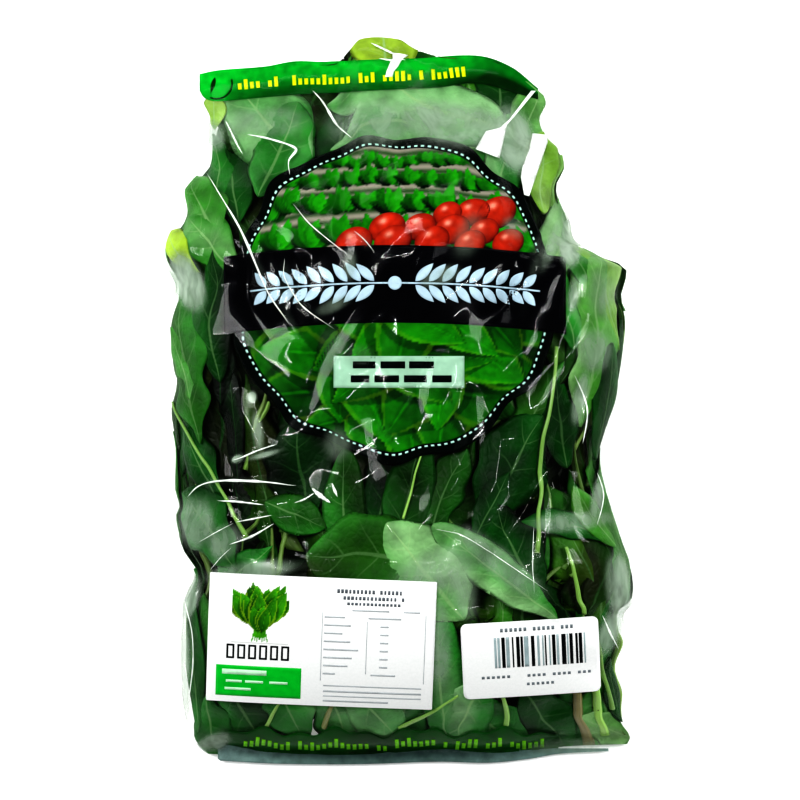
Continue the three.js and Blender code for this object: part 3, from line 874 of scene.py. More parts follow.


# Creases in the front film, as plan points in millimetres, with the width of the pleat on top. A width of 0
# leaves only the rounded ridge.
# the pleats' white stands partly for crease whitening and partly for painted glints
creases = [
    ([(-95, 112), (-79, 86), (-70, 67), (-63, 51), (-53, 36)], 1.2),
    ([(-75, 131), (-63, 128), (-50.5, 123), (-54, 117), (-53.5, 110)], 1.5),
    ([(-43, 153), (-38, 147), (-31, 136), (-23, 128.5)], 1.5),
    ([(-104, -48), (-98, -42.5), (-88, -40), (-70, -40), (-50, -42)], 1.5),
    ([(-89, -49.5), (-78, -50), (-66, -51.5)], 1.3), ([(-80, -60), (-72, -58.5), (-62, -56.5)], 0.9),
    ([(-83, -71), (-72, -67), (-61, -60.5)], 1.3), ([(-51, -50.6), (-46, -48.8), (-41, -45.6)], 1),
    ([(-42.5, -43.2), (-38.5, -46.8), (-33.4, -50.4)], 2.6),
    ([(-98, -70), (-90, -65.5), (-81, -60.5)], 0.5), ([(-93, -84), (-87.5, -78), (-82, -72.5)], 0.45),
    ([(-32.7, -40.8), (-31.5, -44), (-30, -47.5)], 1.6),
    ([(17, -63), (30, -66), (43, -73.5), (57, -83), (73, -94)], 0.5),
    ([(66, -62), (65, -80), (66, -95)], 0.45), ([(86, 12), (92, -4), (90, -22)], 1.2),
    ([(-60, 62), (-54, 40), (-44, 22)], 0), ([(78, 97), (71, 84), (64, 68)], 0),
    ([(77, 86), (68, 68), (60, 48)], 0), ([(-82, -30), (-77, -28.5), (-69, -25), (-60, -22)], 1),
    ([(-52, 96), (-43, 85), (-26, 71.5)], 0.6), ([(-22, 82.5), (-17, 78), (-12, 72)], 0.5),
    ([(-56, 69), (-56, 59.6), (-47.5, 46), (-31.7, 34.4)], 0.6),
    ([(97, -36), (100, -48), (97, -62)], 0.8), ([(100, -106), (104, -116), (108, -123)], 1),
    ([(-108, -90), (-101, -120), (-105, -160)], 0.55), ([(-84, 28), (-80, 12), (-84, -2)], 0),
    ([(-86, 138), (-82, 130), (-77, 121)], 1.4), ([(18, 166), (12, 158), (2, 150)], 0),
    ([(-14, 177), (-8, 173.5), (-1, 170)], 1.5), ([(-10, 168.5), (-4, 167.4), (3, 168)], 1.2),

]
# Broad white folds of the film, their white partly a painted glare, each between a left and a right edge
whiteFoldsAndGlare = np.array([
    [[(65.6, 153.5), (54.3, 138.3), (49.4, 133.9), (42.8, 132.4), (37.5, 123.0)],
     [(68.2, 153.5), (56.6, 139.4), (53.3, 135.6), (52.1, 130.1), (49.4, 118.5)]],
    [[(66.0, 131.8), (64.1, 123.2), (60.8, 114.7), (59.9, 109.6), (61.5, 100.6)],
     [(73.3, 130.9), (73.7, 127.5), (69.9, 116.4), (66.5, 107.0), (64.1, 99.8)]],
    [[(-3.5, 171.5), (-3.3, 169), (-4.8, 166), (-6.2, 162.5), (-7, 159.2)],
     [(4.6, 170.8), (1.2, 167.8), (-0.4, 164.8), (-2.6, 162), (-3.2, 159.4)]],
])
creaseShape = {"ridge": 0.8, "halfWidth": 1.3, "pleatHeight": 0.3, "steps": 46, "sides": 8}
# Milky places of the front film, crumpled or doubled film together with painted sheen and glints: x, y,
# half-width, half-length, turn in degrees, strength
milkAndSheenPlaces = np.array([
    [-104, 58, 8, 16, 22, 0.95], [-91, 131, 5, 9, 10, 0.6], [57, 128, 11, 18, 15, 0.8],
    [28, 136, 34, 12, -6, 0.6], [-14, 136, 26, 13, 5, 0.5], [84, 77, 6, 14, 0, 0.8],
    [96, 24, 9, 12, -10, 0.65], [89, 1, 4, 15, -12, 0.65], [86, 52, 3.4, 11, -8, 0.6],
    [18, -84, 26, 13, 20, 0.5], [30, -92, 9, 19, 15, 0.5], [49, -80, 8, 30, 52, 0.55],
    [84, -60, 24, 5.5, 4, 0.55], [108, -92, 7, 19, 5, 0.75], [104, -114, 6, 13, -15, 0.7],
    [-100, -60, 11, 15, 10, 0.55], [-86, -70, 9, 11, -40, 0.55], [-72, -84, 26, 5.5, 8, 0.6],
    [-103, -98, 4.5, 13, -15, 0.7], [-106, -135, 3.5, 32, 0, 0.6], [86, -172, 26, 5, 0, 0.45],
    [-69, -16, 3, 11, 8, 0.6], [-66, -27, 9, 1.6, 15, 0.7], [-79, -29, 3.4, 2, 20, 0.95],
    [-72, 1, 2.6, 3.4, 0, 1], [97, -50, 3.4, 14, -8, 0.6], [-66, 137, 26, 9, 0, 0.45],
    [20, -120, 7, 26, 0, 0.55], [100, 52, 9, 14, 0, 0.4], [-92, -170, 10, 5, 20, 0.7],
    [-32, 46, 11, 4, 25, 0.4], [34, 80, 8, 14, -20, 0.3], [-24, 66, 4, 9, 0, 0.4],
    [-20, 22, 9, 6, 0, 0.3], [-34, 28, 7, 10, -10, 0.3], [76, 78, 4, 17, -22, 0.5],
    [56, 84, 6, 7, 30, 0.35], [-30, -22, 8, 10, 0, 0.4], [20, 60, 12, 5, 20, 0.4],

])


def nearLine(x, y, points):
    # distance to a line of points, and how far along it the nearest place lies, from 0 to 1
    best, where = np.full(x.shape, 1e9), np.zeros(x.shape)
    for k in range(len(points) - 1):
        (x0, y0), (x1, y1) = points[k : k + 2]
        t = np.clip(((x - x0) * (x1 - x0) + (y - y0) * (y1 - y0)) / ((x1 - x0) ** 2 + (y1 - y0) ** 2), 0, 1)
        far = np.hypot(x - mix(x0, x1, t), y - mix(y0, y1, t))
        where = np.where(far < best, (k + t) / (len(points) - 1), where)
        best = np.minimum(best, far)
    return best, where


def filmRise():
    # relaxation: each place takes the mean of its neighbours, but never sinks into the leaves
    floor = leafTops([shown, pressed, sides, deep]) + filmShape["clearance"]
    rise = np.zeros_like(floor)
    v = np.linspace(0, 1, riseRows)[:, None]
    q = np.linspace(-1, 1, riseColumns, endpoint=False)[None, :]
    q, v = np.broadcast_arrays(q, v)
    place = lookUp(skinPoints, v, q)
    onBack = lookUp(skinOutward, v, q)[..., 2] < -0.3
    floor = np.maximum(floor, -5.0)
    for _ in range(filmShape["relaxSteps"]):
        mean = (np.roll(rise, 1, 1) + np.roll(rise, -1, 1)) / 4
        mean[1:-1] += (rise[2:] + rise[:-2]) / 4
        rise[1:-1] = np.maximum(floor, mean)[1:-1]
    x, y = place[..., 0], place[..., 1]
    front = ~onBack
    cover = labelCover(x, y) * front
    rise = mix(rise, np.maximum(-0.4, floor), cover)
    hazeAndSheen = np.zeros_like(rise)
    for points, width in creases:
        far, where = nearLine(x, y, points)
        taper = np.clip(4 * where * (1 - where), 0, 1) ** 0.5 * front
        rise += creaseShape["ridge"] * np.exp(-((far / creaseShape["halfWidth"]) ** 2)) * taper
        # milk along the crease: crease whitening together with a painted highlight
        hazeAndSheen = np.maximum(hazeAndSheen, 0.25 * np.exp(-((far / 3.0) ** 2)) * taper)
    for milkAndSheenPlace in milkAndSheenPlaces:
        hazeAndSheen = np.maximum(hazeAndSheen, placeStrength(x, y, milkAndSheenPlace, 4) * front)
    # fine random pleats, sharp-topped: 1 - |wave| to a high power
    a, b = q * halfGirth, v * bagLength
    wander = 5 * np.sin(a / 23 + 1.3) + 7 * np.sin(b / 31 + a / 40)
    pleat = 1 - np.abs(np.sin(a / 15 + wander / 9 + np.sin(b / 19)))
    patches = ease(np.sin(a / 37 + 2) * np.sin(b / 43 + a / 61) * 1.4)
    rise += 0.5 * pleat ** 7 * patches * (1 - cover) * front
    thin = ease(np.minimum(v, 1 - v) / 0.02)
    rise = np.where(onBack, np.minimum(rise, -0.05), rise) * thin
    return (np.concatenate([grid, grid[:, :1]], 1) for grid in (rise, hazeAndSheen))


rise, hazeAndSheenGrid = filmRise()
print("film rise", rise.min().round(2), rise.max().round(2))


def onFilm(x, y, lift):
    # point above or below the finished front film over (x, y)
    q, v = fromPlan(x, y)
    return offSkin(v, q, lookUp(rise, v, q) + lift)


def makeFilm():
    # the skin with its rise, in finer columns over the front
    fineTurn = filmShape["fineTurn"]
    fine = np.linspace(-fineTurn, fineTurn, filmShape["fineColumns"])
    coarse = np.linspace(fineTurn, 2 - fineTurn, filmShape["coarseColumns"] + 2)[1:-1]
    q = wrapTurn(np.concatenate([fine, coarse]))[None, :]
    v = np.linspace(0, 1, filmShape["rows"])[:, None]
    q, v = np.broadcast_arrays(q, v)
    points = offSkin(v, q, lookUp(rise, v, q)).reshape(-1, 3)
    piece = meshPiece("filmBag", points, roundFaces(q), film, {"hazeAndSheen": lookUp(hazeAndSheenGrid, v, q)})
    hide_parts("bag")
    return piece


makeFilm()


def foldedFilmEdgeAndGlint():
    # film creased double on itself: white partly from the crease's scatter and partly as a painted glint,
    # with the film's gloss
    m = newMaterial("foldedFilmEdgeAndGlint")
    place = addNode(m, "TexCoord").outputs["Object"]
    gaps = addNode(m, "TexNoise", {"Vector": place, "Scale": 180.0, "Detail": 2.0})
    see = addNode(m, "MapRange", {"Value": gaps, 1: 0.32, 2: 0.5, 3: 0.35, 4: 0.0})
    white = addNode(m, "BsdfPrincipled", {"Base Color": linear("#f4fbf4"), "Roughness": 0.2})
    clear = addNode(m, "BsdfTransparent")
    return finishMaterial(m, addNode(m, "MixShader", {0: see, 1: white, 2: clear}))


def makePleats():
    # flat white ribs on the creases, partly painted glints: across the line a half-lens, thinning out to both
    # ends
    steps, sides = creaseShape["steps"], creaseShape["sides"]
    turn = np.linspace(0, 2 * np.pi, sides, endpoint=False)[None, :]
    s = np.linspace(0.004, 0.996, steps)[:, None]
    points = []
    for line, width in creases:
        if not width:
            continue
        line = np.array(line, float)
        far = np.concatenate([[0], np.cumsum(np.hypot(*np.diff(line, axis=0).T))])
        x, y = (along(rowsOf(far, line[:, k]), s * far[-1]) for k in (0, 1))
        dx, dy = np.gradient(x, axis=0), np.gradient(y, axis=0)
        span = np.hypot(dx, dy)
        uneven = 0.85 + 0.25 * np.sin(11 * s + far[-1]) * np.sin(23 * s)
        half = width / 2 * np.sin(np.pi * s) ** 0.7 * uneven
        sideways, lift = half * np.cos(turn), creaseShape["pleatHeight"] * np.sin(turn) * np.minimum(half, 1)
        grid = onFilm(x - sideways * dy / span, y + sideways * dx / span, 0.12 + lift)
        points.append(grid.reshape(-1, 3))
    for left, right in whiteFoldsAndGlare:
        at = s[:, 0] * (len(left) - 1)
        left, right = (np.stack([np.interp(at, range(len(edge)), column) for column in edge.T])
                       for edge in (left, right))
        middle, half = (left + right)[..., None] / 2, (right - left)[..., None] / 2
        x, y = middle + half * np.cos(turn)
        points.append(onFilm(x, y, 0.12 + creaseShape["pleatHeight"] * np.sin(turn)).reshape(-1, 3))
    faces = tubeFaces(steps, sides, len(points))
    return meshPiece("filmPleatsAndGlints", np.concatenate(points), faces, foldedFilmEdgeAndGlint())


makePleats()

# Print and labels. Each shape is a thin closed plate over a grid in plan, laid on the film. A batch holds
# many plates with equal grids, as arrays of plate, row and column.
def plates(x, y, lift, tone=0.5, thick=0.03):
    # top and bottom faces of each grid and the walls round it
    x, y = np.broadcast_arrays(x, y)
    if x.ndim == 2:
        x, y = x[None], y[None]
    tone = np.broadcast_to(tone, x.shape)
    across1, up1 = x[:, 0, 1] - x[:, 0, 0], y[:, 0, 1] - y[:, 0, 0]
    across2, up2 = x[:, 1, 0] - x[:, 0, 0], y[:, 1, 0] - y[:, 0, 0]
    mirrored = (across1 * up2 - up1 * across2 < 0)[:, None, None]
    x, y, tone = (np.where(mirrored, g[:, ::-1], g) for g in (x, y, tone))
    count, rows, columns = x.shape
    size = rows * columns
    points = [onFilm(x, y, height).reshape(count, size, 3) for height in (lift, lift - thick)]
    tones = [tone.reshape(count, size)] * 2
    top = gridFaces(rows, columns, False)
    index = np.arange(size).reshape(rows, columns)
    rim = np.concatenate([index[0], index[1:, -1], index[-1, -2::-1], index[-2:0:-1, 0]])
    after = np.roll(rim, -1)
    faces = np.concatenate([top, top[:, ::-1] + size, rowsOf(after, rim, rim + size, after + size)])
    faces = faces[None] + (np.arange(count) * 2 * size)[:, None, None]
    return np.concatenate(points, 1).reshape(-1, 3), faces.reshape(-1, 4), np.concatenate(tones, 1).ravel()


def makePrint(name, batches, material):
    # joins batches of plates into one piece, with their values for each point
    points, faces, start = [], [], 0
    for batch in batches:
        points.append(batch[0])
        faces.append(batch[1] + start)
        start += len(batch[0])
    values = [np.concatenate(column) for column in zip(*(batch[2:] for batch in batches))]
    perPoint = dict(zip(("tone", "warmth", "bare"), values))
    faces = [np.concatenate(faces)]
    return meshPiece(name, np.concatenate(points), faces, material, perPoint)


def gridOf(rows, columns):
    # parameters s from 0 to 1 along the rows and c from -1 to 1 across
    return np.meshgrid(np.linspace(0, 1, rows), np.linspace(-1, 1, columns), indexing="ij")


def stacked(*values):
    # one value for each plate, ready to meet a grid
    values = np.broadcast_arrays(*np.atleast_1d(*values))
    return [np.asarray(value, float).reshape(-1, 1, 1) for value in values]


def discs(x, y, radius, cells=9, squash=1.0):
    # square grid pressed into a disc: x = s sqrt(1 - t^2 / 2), y = t sqrt(1 - s^2 / 2)
    t, s = gridOf(cells, cells)
    t = 2 * t - 1
    x, y, radius = stacked(x, y, radius)
    return x + radius * s * np.sqrt(1 - t * t / 2), y + radius * squash * t * np.sqrt(1 - s * s / 2)


def arcs(x, y, inner, outer, start, end, cells, rows=3):
    # ring or arc between two radii
    turn, r = gridOf(cells, rows)
    x, y, inner, outer, start, end = stacked(x, y, inner, outer, start, end)
    turn, r = np.radians(mix(start, end, turn)), mix(inner, outer, (r + 1) / 2)
    return x + r * np.cos(turn), y + r * np.sin(turn)


def leafShapes(x, y, turn, length, width, rows=8, columns=5, blunt=0.85):
    # flat leaves: half-width sin(pi s^blunt)^0.9 along the length, turn in degrees from +Y towards +X
    s, c = gridOf(rows, columns)
    s = mix(0.01, 0.99, s)
    x, y, turn, length, width = stacked(x, y, turn, length, width)
    half = width / 2 * np.sin(np.pi * s ** blunt) ** 0.9
    a, b = turned(c * half, s * length, np.radians(turn))
    return x + a, y + b


def bars(x, y, width, height, tilt=0.0, columns=2, rows=2):
    # tilted rectangles about their middles
    b, a = gridOf(rows, columns)
    x, y, width, height, tilt = stacked(x, y, width, height, tilt)
    a, b = turned(a * width / 2, (b - 0.5) * height, -np.radians(tilt))
    return x + a, y + b


def strip(upper, lower, start, end, cell=1.4, rows=9):
    # field between two curves, each a table of x and y
    x, t = np.meshgrid(np.linspace(start, end, max(3, int((end - start) / cell))), np.linspace(0, 1, rows))
    return x, mix(along(lower, x), along(upper, x), t)


def printedPicture(name, dark, light, warm="#a6d62a", bare="#a09a8e"):
    # process inks: tone between a dark and a light of one hue, warmth towards a yellower one, and bare ground
    m = newMaterial(name)
    tone = addNode(m, "Attribute", attribute_name="tone").outputs["Fac"]
    place = addNode(m, "TexCoord").outputs["Object"]
    uneven = addNode(m, "TexNoise", {"Vector": place, "Scale": 220.0, "Detail": 4.0})
    shade = addNode(m, "MapRange", {"Value": uneven, 1: 0.3, 2: 0.7, 3: 0.75, 4: 1.25})
    colour = addNode(m, "Mix", {0: tone, 6: linear(dark), 7: linear(light)}, data_type="RGBA")
    warmth = addNode(m, "Attribute", attribute_name="warmth").outputs["Fac"]
    ground = addNode(m, "Attribute", attribute_name="bare").outputs["Fac"]
    colour = addNode(m, "Mix", {0: warmth, 6: colour, 7: linear(warm)}, data_type="RGBA")
    colour = addNode(m, "VectorMath", {0: colour, "Scale": shade}, operation="SCALE")
    colour = addNode(m, "Mix", {0: ground, 6: colour, 7: linear(bare)}, data_type="RGBA")
    return finishMaterial(m, addNode(m, "BsdfPrincipled", {"Base Color": colour, "Roughness": 0.4,
                                                          "Specular IOR Level": 0.06}))


def paintLeaves(x, y, paint, leaves, rim=0.0, shadow=0.45):
    # paints leaves one over the other on the points of a grid. paint holds tone, warmth and bare, and each
    # leaf is x, y, turn, length, width, tone. Round each leaf the picture under it is darkened
    for leafX, leafY, turn, length, width, tone in leaves:
        c, l = turned(x - leafX, y - leafY, -np.radians(turn))
        l = l / length
        c = c / (width / 2 * np.sin(np.pi * np.clip(l, 0.001, 0.999) ** 0.85) ** 0.9)
        inside = (np.abs(c) < 1) & (l > 0) & (l < 1)
        near = (np.abs(c) < 1.4) & (l > -0.06) & (l < 1.1) & ~inside
        paint["tone"] = np.where(near, paint["tone"] * (1 - shadow), paint["tone"])
        rib = 0.5 * np.exp(-((c / 0.06) ** 2)) - 0.25 * np.exp(-((c / 0.14) ** 2))
        shade = tone + 0.16 * c + 0.3 * (l - 0.5) + rib
        paint["tone"] = np.where(inside, np.clip(shade, 0, 1), paint["tone"])
        paint["warmth"] = np.where(inside, rim * (np.abs(c) > 0.82), paint["warmth"])
        paint["bare"] = np.where(inside, 0.0, paint["bare"])


def blankPaint(x, tone, bare):
    # paint for a grid before any leaf
    return {"tone": tone + 0 * x, "warmth": 0 * x, "bare": bare + 0 * x}


def paintedPlate(x, y, lift, paint):
    # one plate whose points carry the painted values
    points, faces, tone = plates(x, y, lift, paint["tone"])
    return points, faces, tone, *(plates(x, y, lift, paint[key])[2] for key in ("warmth", "bare"))


# Bands across the head and the foot, with rows of plain ticks in uneven groups
headBand = {
    "upper": np.array([
        [-99, 163], [-90, 165], [-52, 168.5], [-32, 168], [7, 169.2], [39, 170.8], [56, 165], [69, 154.5],
    ]),
    "lower": np.array([
        [-99, 153.5], [-97, 150], [-93, 148.2], [-88, 148], [-82, 148.5], [-54, 151], [-18, 152.6],
        [18, 154.6], [39, 156.8], [60, 151.5], [69, 149],
    ]),
    "from": -79.0, "to": 37.0, "height": 5.2, "seed": 5,
}
footX = np.arange(-92, 80, 1.6)
footBand = {
    "upper": rowsOf(footX, -164 + 1.8 * np.sin(footX / 6.3) + 1.4 * np.sin(footX / 2.7 + 1)),
    "lower": np.array([[-92, -171], [-60, -175.5], [-20, -176.5], [20, -174], [45, -175.5], [77, -174]]),
    "from": -76.0, "to": 74.0, "height": 4.8, "seed": 8,
}


def makeBand(name, band, inks, tickInk, fade):
    # a field between the band's two edges, kept inside the bag's ends, and a row of ticks that leans with it
    start, end = band["upper"][0, 0], band["upper"][-1, 0]
    x, y = strip(band["upper"], band["lower"], start, end)
    y = np.clip(y, along(footEnd, x) + 0.5, along(headEnd, x) - 0.5)
    field = [plates(x, y, bandLift["field"], fade(x, gridOf(*x.shape)[0]))]
    makePrint(name, field, printedPicture(name + "Inks", *inks))
    draw = np.random.default_rng(band["seed"])
    x = np.arange(band["from"], band["to"], 3.0)
    x = x[draw.random(len(x)) > 0.16]
    low, high = along(band["lower"], x), along(band["upper"], x)
    lean = np.degrees(np.arctan2(along(band["lower"], x + 5) - along(band["lower"], x - 5), 10))
    size = band["height"] * draw.choice([0.62, 0.66, 1.0], len(x))
    y = mix(low, high, 0.42) + (size - band["height"]) * 0.4
    ticks = [plates(*bars(x, y, 1.9, size, lean, columns=3, rows=4), bandLift["ticks"])]
    makePrint(name + "Ticks", ticks, printedInk(*tickInk))


bandLift = {"field": -0.24, "ticks": -0.1, "hem": -0.2}


def headFade(x, up):
    # bright curled end at the left, even green in the middle, and dull olive at the right
    lit = 0.66 + 0.14 * np.cos(x / 17) - 0.2 * ease((x + 36) / 30)
    return lit + 0.35 * ease((-84 - x) / 3) - 0.22 * ease((x - 39) / 6) + mix(-0.42, 0.22, ease(up / 0.8))


def footBandShade(x, up):
    # painted shade where the film dips, in the middle and at both ends
    dipShade = 0.35 * np.exp(-(((x + 12) / 14) ** 2)) + 0.2 * ease((np.abs(x) - 60) / 20)
    return 0.55 - dipShade + 0.1 * np.sin(np.pi * up)


makeBand("headBand", headBand, ("#033408", "#00bc3c"), ("yellowInk", "#dcea14"), headFade)
makeBand("footBand", footBand, ("#002402", "#00680a"), ("limeInk", "#7cc81c"), footBandShade)

# the head band's left end curls over: a dark line round the curl, painted as its shadow, and a small dark
# notch in it
curl = {
    "x": -90.4, "y": 156.6, "inner": 7.1, "outer": 8.0, "start": 244, "end": 378,
    "notch": (-93.5, 151.4, 14, 9.0, 2.2),  # x, y, turn, length, width
}
curlTurns = np.linspace(curl["start"], curl["end"], 12)
curlLine = arcs(curl["x"], curl["y"], curl["inner"], curl["outer"], curlTurns[:-1], curlTurns[1:], 4)
curlNotch = leafShapes(*curl["notch"], rows=14, blunt=1.3)
makePrint("headBandCurl", [plates(*shape, bandLift["ticks"]) for shape in (curlLine, curlNotch)],
          printedInk("curlShadowInk", "#013a0c"))

hem = {"upper": footBand["lower"] + [0, 0.8], "lower": footEnd + [0, 0.6], "from": -90, "to": 104, "rows": 9}
hemX, hemY = strip(hem["upper"], hem["lower"], hem["from"], hem["to"], rows=hem["rows"])
hemTone = 0.22 + 0.5 * np.abs(hemX / 95) ** 1.6 + 0.25 * (1 - gridOf(*hemX.shape)[0]) ** 2
hemInks = printedPicture("hemInks", "#2c4844", "#8ea6a2")
makePrint("footHem", [plates(hemX, hemY, bandLift["hem"], hemTone)], hemInks)

# Round printed panel: ridged fields and red roots above a dark band with a pale garland, and broad leaves
# below
panelLift = {"ground": -0.48, "fields": -0.38, "stitches": -0.36, "band": -0.21, "top": -0.12}
panel = {
    "x": -2.0, "y": 50.5, "radius": 80.0, "border": 5.6, "stitchInset": (4.9, 4.0), "stitchTurn": 1.25,
    "bandHalf": 84.0, "bandLow": -18.0, "bandHigh": 20.0, "arch": 5.0,
    "garlandLeaves": 9, "stitches": 146,
}


def scallop(x, y):
    # moves points out or in by uneven waves of the angle that grow with the fourth power of their reach
    dx, dy = x - panel["x"], y - panel["y"]
    angle, reach = np.arctan2(dy, dx), np.hypot(dx, dy) / panel["radius"]
    wave = 1.7 * np.sin(11 * angle + 0.8) + 1.3 * np.sin(5 * angle + 2.3) + 0.7 * np.sin(19 * angle)
    grow = 1 + wave / panel["radius"] * reach ** 4
    return panel["x"] + dx * grow, panel["y"] + dy * grow


def keepInside(x, y, radius):
    # pulls points that lie outside the panel's inner circle onto it
    dx, dy = x - panel["x"], y - panel["y"]
    pull = np.minimum(1, radius / np.maximum(np.hypot(dx, dy), 1e-6))
    return scallop(panel["x"] + dx * pull, panel["y"] + dy * pull)


def bandEdge(dx, height):
    # the band's edges are shallow arches
    return height + panel["arch"] * (1 - (dx / panel["radius"]) ** 2)


def makePanel():
    # the panel's layers from the ground up
    cx, cy, radius = panel["x"], panel["y"], panel["radius"]
    inner = radius - panel["border"]
    draw = np.random.default_rng(17)
    green = printedPicture("leafGreenInks", "#02160a", "#2a9c16")
    red = printedPicture("redInks", "#400404", "#cc3c1e", "#f0b09a")
    dark = printedInk("darkPanelInk", "#05100c", roughness=0.25)
    pale = printedInk("paleInk", "#b9d0dc")
    makePrint("panelGround", [plates(*scallop(*discs(cx, cy, radius, 107)), panelLift["ground"])], dark)
    turns = np.linspace(0, 360, panel["stitches"], endpoint=False)
    rims = (radius - inset for inset in panel["stitchInset"])
    stitches = scallop(*arcs(cx, cy, *rims, turns, turns + panel["stitchTurn"], 4))
    makePrint("panelStitches", [plates(*stitches, panelLift["stitches"])], printedInk("mintInk", "#c2ece0"))
    # upper field: grey earth with arched rows of low leaves that grow towards the band
    s, c = gridOf(70, 180)
    x = cx + c * inner
    edge = cy + bandEdge(x - cx, panel["bandHigh"] - 1)
    top = cy + np.sqrt(np.maximum(inner ** 2 - (x - cx) ** 2, 0))
    y = np.maximum(mix(np.minimum(edge, top), top, s), np.minimum(edge, top))
    paint = blankPaint(x, 0.2, 0.5 + 0.4 * np.sin((y - cy) * 1.3 + (x - cx) ** 2 / 500))
    for row, height in enumerate((68, 58, 45, 29)):
        size = mix(7.0, 15.0, row / 3)
        half = np.sqrt(inner ** 2 - height ** 2) + 3
        for middle in np.arange(-half, half, size * 1.0):
            spread = np.array([-70, 66, -42, 40, -16, 14]) + draw.uniform(-10, 10, 6)
            foot = cy + height - 3 - (middle / 34) ** 2 + draw.uniform(-1.2, 1.2)
            tone = np.array([0.1, 0.1, 0.34, 0.4, 0.66, 0.8]) + draw.uniform(-0.08, 0.2, 6)
            rows = rowsOf(cx + middle, foot, spread, size * draw.uniform(0.75, 1.1, 6), size * 0.5, tone)
            paintLeaves(x, y, paint, rows, shadow=0.25)
    upper = paintedPlate(*keepInside(x, y, inner), panelLift["fields"], paint)
    # lower field: broad leaves over each other, from the rim inwards
    edge = cy + bandEdge(x - cx, panel["bandLow"] + 1)
    low = cy - np.sqrt(np.maximum(inner ** 2 - (x - cx) ** 2, 0))
    y = np.minimum(mix(low, np.maximum(edge, low), s), np.maximum(edge, low))
    paint = blankPaint(x, 0.1, 0)
    rows = []
    for reach, count in ((62, 10), (46, 8), (30, 6), (12, 4)):
        turn = np.linspace(-86, 86, count) + draw.uniform(-7, 7, count)
        out = 180 - turn + draw.uniform(-65, 65, count)
        length = draw.uniform(38, 56, count)
        leafX = cx + np.sin(np.radians(turn)) * reach - np.sin(np.radians(out)) * length / 2
        leafY = cy - 10 - np.cos(np.radians(turn)) * reach * 0.9 - np.cos(np.radians(out)) * length / 2
        width, tone = draw.uniform(22, 32, count), draw.uniform(0.16, 0.66, count)
        rows.append(rowsOf(leafX, leafY, out, length, width, tone))
    paintLeaves(x, y, paint, np.concatenate(rows), rim=0.1, shadow=0.55)
    lower = paintedPlate(*keepInside(x, y, inner), panelLift["fields"], paint)
    makePrint("panelFields", [upper, lower], green)
    # red roots in two rows: darker round the rim and below, with a small pale light at the upper left
    acrossRoot, upRoot = discs(0, 0, 1, 17)
    light = 0.72 - 0.3 * (0.5 * acrossRoot - 0.8 * upRoot) - 0.5 * np.hypot(acrossRoot, upRoot) ** 4
    glint = 0.8 * np.exp(-(((acrossRoot + 0.32) ** 2 + (upRoot - 0.42) ** 2) / 0.03))
    roots = []
    for start, end, count, height, size, lift in ((26, 50, 3, 41, 8.5, -0.34), (-4, 44, 4, 33, 8.4, -0.3),
                                                  (-20, 56, 5, 26.5, 9.2, -0.25)):
        size = size * draw.uniform(0.8, 1.15, count)
        place = cx + np.linspace(start, end, count)
        x, y = discs(place, cy + height + draw.uniform(-1.5, 1.5, count), size, 17, 0.86)
        x, y = keepInside(x + 0.25 * (y - cy - height), y, inner)
        points, faces, tones = plates(x, y, lift, np.clip(light, 0, 1))
        roots.append((points, faces, tones, plates(x, y, lift, glint)[2], 0 * tones))
    makePrint("panelRoots", roots, red)
    # dark band and its garland
    s, c = gridOf(32, 110)
    x = cx + c * panel["bandHalf"]
    y = cy + mix(bandEdge(x - cx, panel["bandLow"]), bandEdge(x - cx, panel["bandHigh"]), s)
    bandInk = printedInk("bandInk", "#05060c", roughness=0.25)
    makePrint("panelBand", [plates(x, y, panelLift["band"])], bandInk)
    step = np.arange(panel["garlandLeaves"])
    garland = []
    for side in (-1, 1):
        for up in (-1, 1):
            dx = side * (10 + step * 6.6)
            size = mix(12.5, 9.0, step / len(step))
            turn = side * (90 - up * 46) + draw.uniform(-5, 5, len(step))
            y = cy + 1.5 + bandEdge(dx, 0) + up * 0.9
            garland.append(leafShapes(cx + dx, y, turn, size, 4.6, 9, 5))
    stem = np.linspace(-68, 68, 24)
    lean = np.degrees(np.arctan2(-2 * panel["arch"] * stem / panel["radius"] ** 2, 1))
    garland.append(bars(cx + stem, cy + 1.5 + bandEdge(stem, 0), 6.2, 0.9, lean, 5, 2))
    garland.append(discs(cx, cy + 1.5 + bandEdge(0, 0), 3.4, 7))
    makePrint("panelGarland", [plates(*shape, panelLift["top"]) for shape in garland], pale)
    # pale plate with two rows of plain dashes
    plate = plates(*bars(cx + 2, cy - 37, 64, 15.5, 0, 44, 11), panelLift["band"])
    makePrint("panelPlate", [plate], printedInk("palePlateInk", "#a9cfb6", 0.08))
    x = cx + 2 + np.array([-17, -3, 11, -19, -6, 8, 21])
    y = cy - 37 + np.array([3.4, 3.4, 3.4, -3.4, -3.4, -3.4, -3.4])
    width = np.array([11, 12, 12, 9, 12, 11, 9.5])
    makePrint("panelPlateDashes", [plates(*bars(x, y, width, 3.4, 0, 8, 3), panelLift["top"])], dark)


makePanel()


# Paper labels
def onLabel(label, a, b):
    # plan point of a place on a label, in its own tilted axes from its middle
    a, b = turned(a, b, -np.radians(label["tilt"]))
    return label["x"] + a, label["y"] + b


